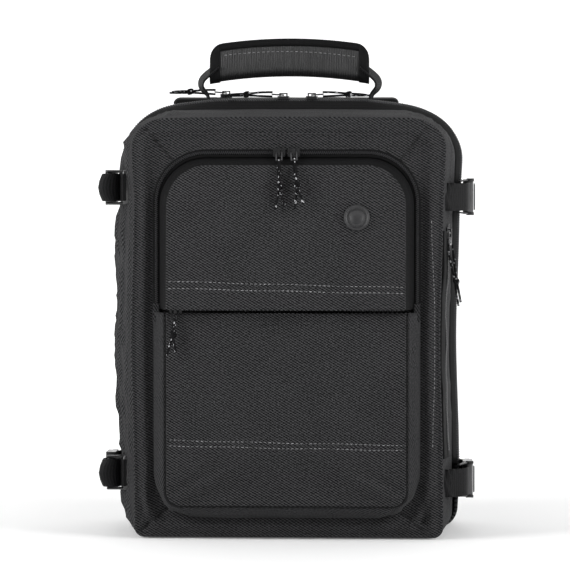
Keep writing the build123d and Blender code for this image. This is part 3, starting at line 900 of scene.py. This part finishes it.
# ---- main zip ----
def rim_normal(p):
    """Outward from the bag's side and top at a point."""
    out = Vector((p.x - min(max(p.x, -100), 100), 0, p.z - min(p.z, 340)))
    return out.normalized()


def main_zip_path(out, low):
    half, top, radius = MAIN_ZIP
    return soften(arch_path(half + out, top + out, low, radius + out))


def zip_band(name, rows, body, node):
    """Tape round the sides and the top. rows are how far out and the depth of each line."""
    rings = []
    for out, y in rows:
        path = main_zip_path(out, 62)
        rings.append([Vector((p.x, y + 0.3 * noise.noise(Vector((p.x / 40, p.y / 40, y))), p.y))
                      for p in path])
    made = surface(name, rings, False, TAPE, None, False, 0.8)
    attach(made, body)
    claim(made, "zip_tape", node)
    return made


zip_band("main_zip_front_tape", ((5.4, -4.5), (5.3, -6.0), (4.6, -8.5), (3.2, -12.0), (1.6, -15.0),
                                 (0.3, -17.0)), "front_half", "main_zip_front")
zip_band("main_zip_rear_tape", ((6.2, 8.6), (7.0, 7.0), (7.0, 3.0), (6.6, 0.0), (6.0, -2.2),
                                (5.6, -3.6)), "pack", "main_zip_rear")


def main_teeth(name, out, y, tilt, body):
    row = Pieces()
    path = upright(main_zip_path(out, 63), y)
    teeth(row, path, lambda p: (rim_normal(p) + Vector((0, tilt, 0))).normalized())
    made = row.make(name, COIL, body, True)
    return made


main_teeth("main_zip_front_teeth", 5.0, -6.2, -1.0, "front_half")
main_teeth("main_zip_rear_teeth", 5.8, -2.2, -0.4, "pack")

# ---- front zip ----
tape_rings = [upright(arch_path(half, top, 200, half - 72.5), y)
              for half, top, y in ((111.5, 341.0, -82.4), (113.5, 343.0, -83.0),
                                   (116.5, 345.9, -83.2), (118.8, 347.9, -83.0),
                                   (120.0, 349.0, -82.2))]
front_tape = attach(surface("front_zip_tape", tape_rings, False, TAPE, None, False, 0.5, None,
                             True), "front_half")
front_row = Pieces()
teeth(front_row, upright(arch_path(*FRONT_ZIP[:2], 208, FRONT_ZIP[2]), -83.4),
      lambda p: Vector((0, -1, 0)), pitch=1.8, across=2.3, along=1.05)
front_teeth = front_row.make("front_zip_teeth", COIL, "front_half", True)
claim(front_teeth, "zip_tape", "front_zip_chain")
ends = []
for side in (-1, 1):
    ends.append(strip("zip_end", [(side * 116.6, -90.6, 195), (side * 116.6, -89.8, 202),
                                  (side * 116.6, -85.6, 211)], (1, 0, 0), 1.1, SHELL, 2.9))
zip_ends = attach(join("front_zip_ends", ends), "front_half")

# ---- slip pocket zip and backing ----
slip_strip = strip("slip_zip_tape", [(x, -99.5, SLIP_ZIP_Z) for x in (-103, 0, 103)],
                   (0, 0, 1), 1.2, TAPE, 2.5, 10)
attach(slip_strip, "front_half")
claim(slip_strip, "zip_tape", "slip_zip")
slip_row = Pieces()
teeth(slip_row, [Vector((x, -100.1, SLIP_ZIP_Z)) for x in range(-100, 101, 10)],
      lambda p: Vector((0, -1, 0)), high=0.7)
slip_row.make("slip_zip_teeth", COIL, "front_half", True)


def soft_panel(name, size, front, rear, look, node, body):
    """Flat sewn panel with a bound edge, rounded on both faces."""
    middle = (front + rear) / 2
    rings = []
    for amount, share in ((14, 1), (7, 1), (2.5, 0.95), (0.6, 0.6), (0, 0), (0.6, -0.6),
                          (2.5, -0.95), (7, -1), (14, -1)):
        rings.append([Vector((p.x, middle + share * (rear - front) / 2, p.y))
                      for p in box_path(inset(size, amount), 12, 8)])
    for amount in (24, 40, 60):
        rings.insert(0, [Vector((p.x, rear + 0.4 * cloth_wave(p.x, p.y, 3.0), p.y))
                         for p in box_path(inset(size, amount), 12, 8)])
        rings.append([Vector((p.x, front + 0.4 * cloth_wave(p.x, p.y, 5.0), p.y))
                      for p in box_path(inset(size, amount), 12, 8)])
    rings.insert(0, [Vector((0, rear, p.y * 0.02 + 150)) for p in rings[0]])
    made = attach(surface(name, rings, True, look, 0, True), body)
    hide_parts(node)
    return made


soft_panel("laptop_sleeve", (152, 5, 310, 24, 20), 43, 45.5, LINING, "laptop_divider", "pack")
soft_panel("slip_pocket_lining", (105, 34, 200, 32, 6), -94.6, -93, LINING, "slip_backing",
           "front_half")


# ---- side pocket on the right ----
def on_side(y, z, lift):
    return landed(front_tree, Vector((230, y, z)), Vector((-1, 0, 0)), lift)[0]


side_run = range(72, 288, 12)
welt = strip("side_pocket_welt", [on_side(-73.4, z, 0.9) for z in side_run], (0.242, 1, 0), 1.8,
             TAPE, 6.2, 4, lambda t: 0.05 * sin(9 * t))
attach(welt, "front_half")
claim(welt, "shell_fabric", "side_welt")
side_tape = strip("side_pocket_tape", [on_side(SIDE_ZIP_Y, z, 0.6 - 2.2 * bell(z - 134, 16))
                                       for z in side_run], (0.242, 1, 0), 1.2,
                  TAPE, 3.4, 4)
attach(side_tape, "front_half")
claim(side_tape, "zip_tape", "side_zip")
side_row = Pieces()
teeth(side_row, [on_side(SIDE_ZIP_Y, z, 1.1) for z in range(78, 283, 12)],
      lambda p: Vector((1, -0.242, 0)).normalized(), high=0.8)
side_row.make("side_pocket_teeth", COIL, "front_half", True)


# ---- painted shade along seams, and rows of stitches ----
def sloped(left, right, z_left, z_right, step=3.0):
    count = int((right - left) / step)
    return [Vector((mix(left, right, k / count), 0, mix(z_left, z_right, k / count)
                    + 0.3 * sin(k * 0.23 + z_left))) for k in range(count + 1)]


flap_rows = Pieces()
for z_left, z_right in ((231.7, 226.4), (225.5, 221.0)):
    stitches(flap_rows, flap_tree, sloped(-105, 105, z_left, z_right), FRONT)
flap_rows.make("flap_stitches", THREAD, "flap")
lower_rows = Pieces()
for z_left, z_right in ((90, 86), (85, 81.5)):
    stitches(lower_rows, lower_tree, sloped(-105, 105, z_left, z_right), FRONT)
stitches(lower_rows, front_tree, [Vector((129.4 + 3.0 * smooth((286 - z) / 90)
                                          - 1.6 * smooth((150 - z) / 60), 0, z))
                                  for z in range(82, 287, 4)], FRONT)
lower_rows.make("front_stitches", THREAD, "front_half")
quiet_rows = Pieces()
stitches(quiet_rows, front_tree, sloped(-92, 92, 363.5, 362.5), FRONT, radius=0.26)
quiet_rows.make("ring_stitches", DARK_THREAD, "front_half")
# dark tubes along the ring's corner seams: painted shade in the seam grooves
seam_shade_lines = Pieces()
for (x0, z0), (x1, z1) in MITRES:
    line = lay_on(front_tree, [Vector((mix(x0, x1, k / 14), 0, mix(z0, z1, k / 14)))
                               for k in range(15)], FRONT, lift=-0.05)
    add_tube(seam_shade_lines, line, [0.6] * len(line), 6)
seam_shade_lines.make("corner_seam_shade", SEAM_SHADE, "front_half")
# a dark tube round the pocket's face edge: painted shade where the face overhangs the gusset
hem_shadow = Pieces()
edge_line = lay_on(lower_tree, upright(u_path(107.5, 30.5, 200, 13), 0),
                   FRONT, lift=0.3)
add_tube(hem_shadow, edge_line, [0.6] * len(edge_line), 6)
hem_shadow.make("pocket_edge_shade", SEAM_SHADE, "front_half")

# ---- badge: a plain rubber disc with a rim and a ring of dots ----
badge_at, badge_out = landed(flap_tree, Vector((63, -170, 288.3)), FRONT, 0.1)
badge_x_axis = Vector((1, 0, 0))
badge_z_axis = badge_x_axis.cross(badge_out).normalized()
if badge_z_axis.z < 0:
    badge_z_axis = -badge_z_axis
badge_rings = []
for radius, lift in ((0.02, 1.1), (5.6, 1.1), (6.0, 1.5), (6.6, 1.5), (7.0, 1.1), (9.2, 1.1),
                     (9.7, 1.9), (10.4, 2.3), (11.2, 2.0), (11.6, 1.2), (11.6, -1.4)):
    badge_rings.append([badge_at + badge_out * lift
                        + (badge_x_axis * cos(a) + badge_z_axis * sin(a)) * radius
                        for a in [2 * pi * k / 48 for k in range(48)]])
badge = Pieces()
badge.add([p for ring in badge_rings for p in ring], ring_faces(len(badge_rings), 48))
for k in range(24):
    a = 2 * pi * k / 24
    spot = badge_at + (badge_x_axis * cos(a) + badge_z_axis * sin(a)) * 8.1
    add_tube(badge, [spot + badge_out * h for h in (0.6, 1.3, 1.6)], [0.55, 0.5, 0.2], 8)
badge_disc = badge.make("badge_disc", RUBBER, "flap")
claim(badge_disc, "badge_rubber", "badge")


# ---- glossy band over the laptop pocket's zip ----
def shrunk(ring, share=0.03):
    centre = sum(ring, Vector()) / len(ring)
    return [centre + (p - centre) * share for p in ring]


def tunnel(name, xs, section, look):
    """Closed tube along X from sections, with its ends drawn in."""
    rings = [section(x) for x in xs]
    rings = [shrunk(rings[0])] + rings + [shrunk(rings[-1])]
    return surface(name, rings, True, look, flip=True)


def band_section(x):
    near = min(x + 111, 100 - x)
    full = min(1.0, sqrt(max(1 - (1 - min(near / 6, 1)) ** 2, 0.02)))
    ring = []
    for k in range(20):
        a = 2 * pi * k / 20
        c, s = cos(a), sin(a)
        y = 50 + copysign(abs(c) ** 0.6, c) * 9.4
        z = 394.4 + copysign(abs(s) ** 0.7, s) * 5.3 * full
        ring.append(Vector((x, y, z + 0.35 * noise.noise(Vector((x / 16, y / 8, 4))))))
    return ring


band_xs = [-111, -110.4, -109, -107, -105] + list(range(-102, 92, 3)) + [94, 96.5, 98.5, 99.6, 100]
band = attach(tunnel("laptop_zip_band", band_xs, band_section, GLOSSY), "pack")
claim(band, "trim_fabric", "laptop_zip")


# ---- grab handle ----
GRIP_SECTION = ((0, 0), (2.4, 0.015), (4.4, 0.06), (5.9, 0.14), (6.5, 0.26), (6.2, 0.42),
                (5.0, 0.57), (3.6, 0.71), (2.7, 0.82), (2.3, 0.92), (1.9, 1.0))


def grip_arc(x):
    return 6.0 * (1 - ((x + 1.5) / 73) ** 2)


def grip_top(x):
    reach = min(x + 75.5, 72.5 - x)
    corner = min(max(12 - reach, 0), 12)
    return 446.6 + grip_arc(x) - (12 - sqrt(144 - corner ** 2))


def grip_section(x, grow=0.0, low=0.0):
    z0, z1 = 412 + grip_arc(x), grip_top(x)
    half = [(w, v) for w, v in GRIP_SECTION if v >= low]
    ring = []
    for sign, row in ((-1, half), (1, half[::-1])):
        for w, v in row:
            z = mix(z0, z1, v) + (grow if v >= 1 else 0) - (grow if v <= 0.02 else 0)
            soft = 0.3 * noise.noise(Vector((x / 5, z / 7, sign))) if v < 0.6 else 0
            ring.append(Vector((x, HANDLE_Y + sign * (w + grow + soft), z)))
    return ring


grip_xs = [-74.5 + k * 146 / 60 for k in range(61)]
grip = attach(tunnel("handle_sleeve", grip_xs, grip_section, SLEEVE), "handle")
claim(grip, "trim_fabric", "handle_grip")
grip_tree = tree_of(grip)
bindings = [tunnel("binding_top", [-75.2 + k * 147.4 / 60 for k in range(61)],
                   lambda x: grip_section(x, 0.7, 0.8), TRIM)]
for start, end in ((-75.6, -66), (63, 72.6)):
    bindings.append(tunnel("binding_end", [mix(start, end, k / 8) for k in range(9)],
                           lambda x: grip_section(x, 0.8), TRIM))
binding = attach(join("handle_binding_tape", bindings), "handle")
claim(binding, "trim_fabric", "handle_binding")
grip_row = Pieces()
stitches(grip_row, grip_tree, [Vector((x, HANDLE_Y, grip_arc(x) + 435.0 - 0.012 * x))
                               for x in range(-63, 62, 3)], FRONT, 4.4, 3.2, 0.3)
grip_row.make("handle_stitches", THREAD, "handle")
legs = []
for end, side in ((-74, -1), (71, 1)):
    legs.append(strip("leg", [(end - side * 6, HANDLE_Y, 428), (end + side * 2, HANDLE_Y, 422),
                              (end + side * 9, HANDLE_Y, 415), (end + side * 9.5, HANDLE_Y, 408),
                              (end + side * 4, HANDLE_Y, 401), (end + side * 2.5, HANDLE_Y, 394)],
                      (0, 1, 0), 1.8, WEBBING, lambda t: mix(10, 7.5, t), 8,
                      lambda t, s=side: s * (0.25 + 0.12 * sin(5 * t))))
leg_pair = join("handle_legs", legs)
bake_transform(leg_pair)
claim(leg_pair, "webbing", "handle_webbing")


# ---- compression straps ----
def loop_bulge(t, u):
    """The slack loop over the frame's bar stands out most in the middle of its width."""
    return Vector((-4.6, -1.2, 0)) * (1 - u * u) * bell(t - 0.56, 0.16)


def pleats(t, u):
    fan = 1 + 0.35 * u
    return Vector((0.5, -1, 0)) * 1.7 * sin(t * 44 * fan + 1.2 * u) * bell(t - 0.2, 0.17)


front_straps, frames, buckle_faces_and_highlights = [], Pieces(), Pieces()


def add_bar(pieces, a, b, wide, half_wide, half_deep, sides=16, power=0.6):
    """A straight bar with a soft rectangular section and rounded ends."""
    a, b, wide = Vector(a), Vector(b), Vector(wide)
    run = (b - a).normalized()
    across = (wide - run * wide.dot(run)).normalized()
    up = run.cross(across)
    verts = []
    stops = ((0, 0.55), (0.02, 0.85), (0.06, 1), (0.5, 1), (0.94, 1), (0.98, 0.85), (1, 0.55))
    for t, size in stops:
        for k in range(sides):
            c, s = cos(2 * pi * k / sides), sin(2 * pi * k / sides)
            verts.append(a.lerp(b, t) + across * copysign(abs(c) ** power, c) * half_wide * size
                         + up * copysign(abs(s) ** power, s) * half_deep * size)
    pieces.add(verts, ring_faces(len(stops), sides))


for side, z in STRAPS:
    if side < 0:
        path = [(-141, -40, z), (-147, -44, z), (-151.5, -50, z), (-152.5, -57, z),
                (-155, -62.5, z), (-160.5, -64.6, z), (-166, -62, z), (-167, -55, z),
                (-165, -44, z), (-163.5, -36, z), (-163.5, -29.5, z)]
        front_straps.append(strip("strap", path, (0, 0, 1), WEBBING_THICK, WEBBING, steps=6,
                                  bulge=loop_bulge))
        front_straps.append(strip("strap", [(-137, -52, z), (-143, -58.5, z), (-148.5, -60.5, z),
                                            (-151.5, -58, z), (-150, -52, z)],
                                  (0, 0, 1), WEBBING_THICK, WEBBING, 12.2, 6))
        add_bar(frames, (-145.6, -58.2, z - 15.6), (-145.6, -58.2, z + 15.6),
                (1, 0, 0), 4.0, 2.6)
        add_bar(frames, (-161.4, -56.2, z - 15.4), (-161.4, -56.2, z + 15.4),
                (1, 0, 0), 2.4, 1.6)
        for rail in (-14.4, 14.4):
            add_bar(frames, (-164.4, -57.0, z + rail), (-144.4, -57.0, z + rail),
                    (0, 0, 1), 1.35, 2.2, 16, 0.8)
    else:
        path = [(134, -73.5, z), (139.5, -72, z), (145, -68.5, z), (151, -64.5, z),
                (157, -60, z), (161.5, -54, z), (163.4, -46, z), (163.5, -37, z),
                (163.5, -29.5, z)]
        front_straps.append(strip("strap", path, (0, 0, 1), WEBBING_THICK, WEBBING,
                                  bulge=pleats))
        add_bar(buckle_faces_and_highlights, (164.6, -31.2, z - 15.2), (164.6, -31.2, z + 15.2),
                (1, 0, 0), 2.9, 1.2)
        add_bar(buckle_faces_and_highlights, (169.0, -29.0, z - 12.2), (169.0, -29.0, z + 12.2),
                (1, 0, 0), 0.7, 2.4)
        # the pale strips along the top and bottom rails are painted highlights
        for rail in (-15.4, 15.4):
            add_bar(buckle_faces_and_highlights, (155.0, -44.0, z + rail * 0.92),
                    (163.0, -31.5, z + rail), (0, 0, 1), 0.8, 1.6, 12, 0.8)
            add_bar(frames, (161.5, -32.4, z + rail), (168.6, -32.4, z + rail),
                    (0, 0, 1), 1.4, 1.9)
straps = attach(join("compression_straps_front", front_straps), "front_half")
claim(straps, "webbing", "compression_webbing_front")
frame_piece = frames.make("strap_frame_bars", PLASTIC, "front_half")
claim(frame_piece, "buckle_plastic", "strap_frames")
buckle_faces_and_highlights.make("buckle_faces_and_rail_highlights", BUCKLE_FACE_AND_HIGHLIGHT, "front_half")
rear_straps = [strip("strap", mirrored(side, [(163.4, 9, z), (161.5, 20, z), (156.2, 34, z),
                                              (154.0, 50, z), (150.5, 68, z)]),
                     (0, 0, 1), WEBBING_THICK, WEBBING, WEBBING_HALF, 5) for side, z in STRAPS]
straps_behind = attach(join("compression_straps_rear", rear_straps), "pack")
claim(straps_behind, "webbing", "compression_webbing_rear")


# ---- pads on the back and the shoulder straps ----
PADS = []
PAD_FACE = 4.2                  # size of a pad's faces before it is filled
SEWN_WIDTH = 3.5                # cloth this near a seam stays where it is
MOST_MOVE = 4                   # and no point goes further than this
FILL_FRAMES = 20


def pad_outline(side, corners, radius):
    points = [(side * x, z, radius) for x, z in corners]
    if side < 0:
        points = points[::-1]
    return rounded_path(points, 10, 6, True)


def edge_distance(outline, x, z):
    here = Vector((x, z))
    best = 1e9
    for a, b in zip(outline, outline[1:] + outline[:1]):
        run = b - a
        if run.length_squared < 1e-9:
            continue
        t = min(max((here - a).dot(run) / run.length_squared, 0), 1)
        best = min(best, (here - a - run * t).length)
    return best


def pad_blank(name, outline, back, front, look):
    """The pad before it is filled: a closed slab with soft edges, remeshed in small faces."""
    out = normals_2d(outline, True)
    middle = (back + front) / 2
    half = (front - back) / 2
    rings = []
    for amount, share in ((6, 1), (1.5, 0.8), (0, 0), (1.5, -0.8), (6, -1)):
        rings.append([Vector((p.x - n.x * amount, middle + share * half, p.y - n.y * amount))
                      for p, n in zip(outline, out)])
    size = len(outline)
    mesh = bpy.data.meshes.new(name)
    mesh.from_pydata([p * MM for ring in rings for p in ring], [], ring_faces(len(rings), size))
    face_outward(mesh)
    made = new_object(name, mesh)
    remesh = made.modifiers.new("remesh", "REMESH")
    remesh.mode = "VOXEL"
    remesh.voxel_size = PAD_FACE * MM
    depsgraph = bpy.context.evaluated_depsgraph_get()
    fine = bpy.data.meshes.new_from_object(made.evaluated_get(depsgraph))
    made.modifiers.clear()
    made.data = fine
    made.data.materials.clear()
    made.data.materials.append(look)
    for polygon in made.data.polygons:
        polygon.use_smooth = True
    return made


def plan_pad(name, outline, back, front, channels, node, body, rise=3.2):
    made = pad_blank(name, outline, back + 0.8, front - rise, AIR_MESH)
    held, free = [], []
    for v in made.data.vertices:
        x, z = v.co.x / MM, v.co.z / MM
        gap = edge_distance(outline, x, z)
        for a, b in channels:
            gap = min(gap, edge_distance([Vector(a), Vector(b)], x, z))
        free.append(gap)
        if gap < SEWN_WIDTH:
            held.append(v.index)
    PADS.append((made, outline, back, front, free, held, node, body, rise))


BACK_CORNERS = ((14, 112), (118, 112), (118, 348), (14, 348))
for side, word in ((-1, "left"), (1, "right")):
    lines = [((side * 24, z), (side * 108, z + 14)) for z in (168, 222, 276)]
    plan_pad("back_cushion_" + word, pad_outline(side, BACK_CORNERS, 22), 72.3, 84, lines,
             "back_pad_" + word, "pack")
    shoulder = ((20, 351), (44, 250), (64, 140), (74, 109), (106, 109), (112, 140), (102, 250),
                (80, 351))
    lines = [((side * 50, 346), (side * 74, 245)), ((side * 74, 245), (side * 88, 130))]
    plan_pad("shoulder_cushion_" + word, pad_outline(side, shoulder, 8), 87, 101, lines,
             "shoulder_pad_" + word, "strap_" + word)
plan_pad("lumbar_cushion", pad_outline(1, ((-118, 24), (118, 24), (118, 100), (-118, 100)), 16),
         72.3, 84.6, [((x, 30), (x, 94)) for x in (-60, 0, 60)], "lumbar_pad", "pack")
plan_pad("yoke_cushion", pad_outline(1, ((-84, 354), (84, 354), (84, 382), (-84, 382)), 6), 72.3,
         86, [], "strap_yoke", "pack")


def fill_pads():
    """Inflates every pad with Blender's cloth, and keeps each movement inside its box."""
    starts = []
    for made, _, _, _, _, held, _, _, _ in PADS:
        starts.append([v.co.copy() for v in made.data.vertices])
        made.vertex_groups.new(name="sewn").add(held, 1.0, "REPLACE")
        cloth = made.modifiers.new("cloth", "CLOTH")
        cloth.settings.vertex_group_mass = "sewn"
        cloth.settings.use_pressure = True
        cloth.settings.uniform_pressure_force = 4
        cloth.settings.effector_weights.gravity = 0
        cloth.point_cache.frame_start = 1
        cloth.point_cache.frame_end = FILL_FRAMES
    for number in range(1, FILL_FRAMES + 1):
        bpy.context.scene.frame_set(number)
    depsgraph = bpy.context.evaluated_depsgraph_get()
    results = []
    for made, *_ in PADS:
        results.append([v.co.copy() for v in made.evaluated_get(depsgraph).data.vertices])
    for (made, *_), first, last in zip(PADS, starts, results):
        made.modifiers.clear()
        for v, a, b in zip(made.data.vertices, first, last):
            move = b - a
            limit = MOST_MOVE * MM
            v.co = a + (move * (limit / move.length) if move.length > limit else move)
    bpy.context.scene.frame_set(1)


fill_pads()
for made, outline, back, front, free, held, node, body, rise in PADS:
    for v, gap in zip(made.data.vertices, free):
        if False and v.co.y / MM > (back + front) / 2:
            v.co.y += rise * smooth(gap / 22) * MM
        v.co.y = min(max(v.co.y, (back + 0.2) * MM), (front + 1.5) * MM)
    made.modifiers.new("fine", "SUBSURF").levels = 1
    made.modifiers["fine"].render_levels = 1
    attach(made, body)
    claim(made, "air_mesh", node)
    piping = Pieces()
    ring = upright(outline, back + 2.6)
    ring.append(ring[0])
    add_tube(piping, ring, [1.5] * len(ring), 8)
    piping.make(made.name + "_piping", TRIM, body)

# ---- webbing from the bottom corners to the shoulder straps ----
LOWER_WEBBING = ((134, 70.5, 24), (132, 75, 33), (124, 82, 48), (110, 88, 70), (97, 91.5, 88),
                 (91.5, 96.5, 97), (94, 98.5, 90), (104, 97.5, 74), (112, 95, 60))
for side, word in ((-1, "left"), (1, "right")):
    pieces = [strip("webbing", mirrored(side, LOWER_WEBBING),
                    (side * 0.8, 0, 0.6), WEBBING_THICK, WEBBING, 12.4, 6)]
    pieces.append(strip("tab", mirrored(side, [(142, 69, 16), (137, 75, 26), (129, 79.5, 38)]),
                        (side * 0.8, 0, 0.6), 2.6, TRIM, lambda t: mix(19, 13, t), 5))
    lower = join("lower_strap_" + word, pieces)
    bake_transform(lower)
    claim(lower, "webbing", "webbing_lower_" + word)

# ---- pull cords: the CAD routes, with the front ones a little further off the flap ----
TAPE_TOP = 395.6
SIDE_OUT = Vector((1, -15 / 62, 0)).normalized()
SIDE_ZIP_X = 150 - 15 / 62 * 42 + 1.7
# seat, pull direction, outward, swing out, drop, knot at, tails
PULLS = {
    "main_left": ((-6, -3.8, TAPE_TOP + 0.3), (-1, 0, 0), (0, 0, 1), 4, 6, 34, 54),
    "main_right": ((20, -3.8, TAPE_TOP + 0.3), (1, 0, 0), (0, 0, 1), 4, 6, 34, 54),
    "laptop": ((-62, 50, 399.7), (-1, 0.03, 0), (0, 0, 1), 5, 6, 34, 54),
    "front_left": ((-6.5, -84.6, 345.9), (0.03, 0, -1), (0, -1, 0), 48, 37, 35, 56),
    "front_right": ((6.5, -84.6, 345.9), (0.12, 0, -1), (0, -1, 0), 48, 34, 35, 56),
    "slip": ((-98, -100.5, SLIP_ZIP_Z), (-0.08, 0, -1), (0, -1, 0), 16, 12, 23, 42),
    "side": ((SIDE_ZIP_X + 0.3, SIDE_ZIP_Y, 274), (0, 0, -1), SIDE_OUT, 4, -6, 44, 66),
}
TAB_LENGTH = 11.0
CORD_DIAMETER = 2.1


def pull_point(pull, s, across, rise):
    seat, down, out, swing, drop, knot, tail = PULLS[pull]
    out = Vector(out).normalized()
    turn = radians(swing)
    down = Vector(down).normalized()
    along = down * cos(turn) + out * sin(turn)
    up = out * cos(turn) - down * sin(turn)
    width = up.cross(along)
    drop = radians(drop)
    bend = TAB_LENGTH + 5
    rest = max(s - bend, 0)
    x = min(s, bend) + rest * cos(drop)
    z = -rest * sin(drop)
    if rest:
        x += rise * sin(drop)
        z += rise * cos(drop)
    else:
        z += rise
    return Vector(seat) + out * 4 + along * x + width * across + up * z


def strand_points(pull, hand):
    knot, tail = PULLS[pull][5:]
    middle = (TAB_LENGTH + knot) / 2
    return [pull_point(pull, TAB_LENGTH - 0.8, 0.2 * hand, 2.0 * hand),
            pull_point(pull, middle - 1, 1.6 * hand, 1.7 * hand),
            pull_point(pull, knot - 3, -0.9 * hand, 0.8 * hand),
            pull_point(pull, knot + (tail - knot) * 0.45, 1.7 * hand, 0.9 * hand),
            pull_point(pull, tail - 1.5 * (hand + 1), 4.2 * hand, 0.3 * hand)]


for pull in PULLS:
    body = "pull_" + pull
    centre = pull_point(pull, PULLS[pull][5], 0.25, 0.15)
    along = (pull_point(pull, PULLS[pull][5] + 2, 0, 0)
             - pull_point(pull, PULLS[pull][5], 0, 0)).normalized()
    side_way = along.cross(Vector((0.3, 0.5, 0.8))).normalized()
    up_way = side_way.cross(along)
    knot = Pieces()
    loop = []
    for k in range(73):
        a = 2 * pi * k / 72
        loop.append(centre + (side_way * (sin(a) + 2 * sin(2 * a))
                              + up_way * (cos(a) - 2 * cos(2 * a))) * 0.72
                    - along * sin(3 * a) * 1.9)
    add_tube(knot, loop, [1.15] * len(loop), 8)
    knot_piece = knot.make("knot_" + pull, CORD, body)
    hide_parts("cord_" + pull)
    for hand, word in ((-1, "a"), (1, "b")):
        points = strand_points(pull, hand)
        data = bpy.data.curves.new("cord_%s_%s" % (pull, word), "CURVE")
        data.dimensions = "3D"
        data.bevel_depth = CORD_DIAMETER / 2 * MM
        data.bevel_resolution = 3
        data.use_fill_caps = True
        spline = data.splines.new("NURBS")
        spline.points.add(len(points) - 1)
        for spot, p in zip(spline.points, points):
            spot.co = (*(p * MM), 1)
        spline.order_u = 3
        spline.use_endpoint_u = True
        spline.resolution_u = 10
        data.materials.append(CORD)
        strand = new_object(data.name, data)
        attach(strand, body)
        claim(strand, "pull_cord", "cord_" + pull)

# ---- camera, floor and light ----
AIM = P(-4.6, -4, 225)
DISTANCE = 2.6
AZIMUTH = radians(2.3)
ELEVATION = radians(2.0)
camera = new_object("camera", bpy.data.cameras.new("camera"))
camera.location = AIM + DISTANCE * Vector((sin(AZIMUTH) * cos(ELEVATION),
                                           -cos(AZIMUTH) * cos(ELEVATION),
                                           sin(ELEVATION)))
camera.rotation_euler = (AIM - camera.location).to_track_quat("-Z", "Y").to_euler()
camera.data.sensor_width = 36
camera.data.lens = 178
camera.data.clip_end = 60
bpy.context.scene.camera = camera

world = bpy.data.worlds.new("studio")
world.use_nodes = True
world.node_tree.nodes["Background"].inputs[0].default_value = (1, 1, 1, 1)
world.node_tree.nodes["Background"].inputs[1].default_value = 0.2
bpy.context.scene.world = world
bpy.context.scene.view_settings.view_transform = "Standard"


def area_light(name, place, size, power):
    made = new_object(name, bpy.data.lights.new(name, "AREA"))
    made.data.shape = "RECTANGLE"
    made.data.size, made.data.size_y = size
    made.data.energy = power
    made.location = place
    made.rotation_euler = (Vector((0, 0, 0.2)) - Vector(place)).to_track_quat("-Z", "Y").to_euler()


area_light("left_softbox", (-1.7, -0.9, 1.0), (0.8, 1.6), 36)
area_light("right_softbox", (1.7, -0.9, 0.9), (0.8, 1.6), 33)
area_light("top_softbox", (0.0, 0.3, 2.0), (1.8, 1.2), 9)

# one sheet of paper: floor, a wide bend and a wall behind, in metres
PAPER_HALF, BEND_START, BEND_RADIUS, WALL_TOP = 14, 4, 3, 9
profile = [(-PAPER_HALF, 0), (-6, 0), (0, 0), (BEND_START, 0)]
profile += [(BEND_START + BEND_RADIUS * sin(a), BEND_RADIUS - BEND_RADIUS * cos(a))
            for a in [pi / 2 * k / 16 for k in range(1, 17)]]
profile += [(BEND_START + BEND_RADIUS, WALL_TOP)]
paper_mesh = bpy.data.meshes.new("paper_sweep")
paper_mesh.from_pydata([(x, y, z - 0.0004) for y, z in profile for x in (-PAPER_HALF, PAPER_HALF)], [],
                       [(2 * k, 2 * k + 1, 2 * k + 3, 2 * k + 2) for k in range(len(profile) - 1)])
paper_mesh.update()
floor = new_object("paper_sweep", paper_mesh)
paper, paper_tree, paper_shader = material("paper", 0.9, specular=0.1)
paper_shader.inputs["Base Color"].default_value = (0.9, 0.9, 0.9, 1)
paper_shader.inputs["Emission Color"].default_value = (1, 1, 1, 1)
# the paper glows less round the bag's foot, so that its shadow shows
where = paper_tree.nodes.new("ShaderNodeTexCoord").outputs["Object"]
far = paper_tree.nodes.new("ShaderNodeVectorMath")
far.operation = "LENGTH"
paper_tree.links.new(where, far.inputs[0])
glow = paper_tree.nodes.new("ShaderNodeMapRange")
NEAR, FAR, NEAR_GLOW, FAR_GLOW = 0.25, 1.6, 0.12, 0.78
for place, value in enumerate((NEAR, FAR, NEAR_GLOW, FAR_GLOW), 1):
    glow.inputs[place].default_value = value
paper_tree.links.new(far.outputs["Value"], glow.inputs[0])
paper_tree.links.new(glow.outputs[0], paper_shader.inputs["Emission Strength"])
floor.data.materials.append(paper)
for polygon in floor.data.polygons:
    polygon.use_smooth = True
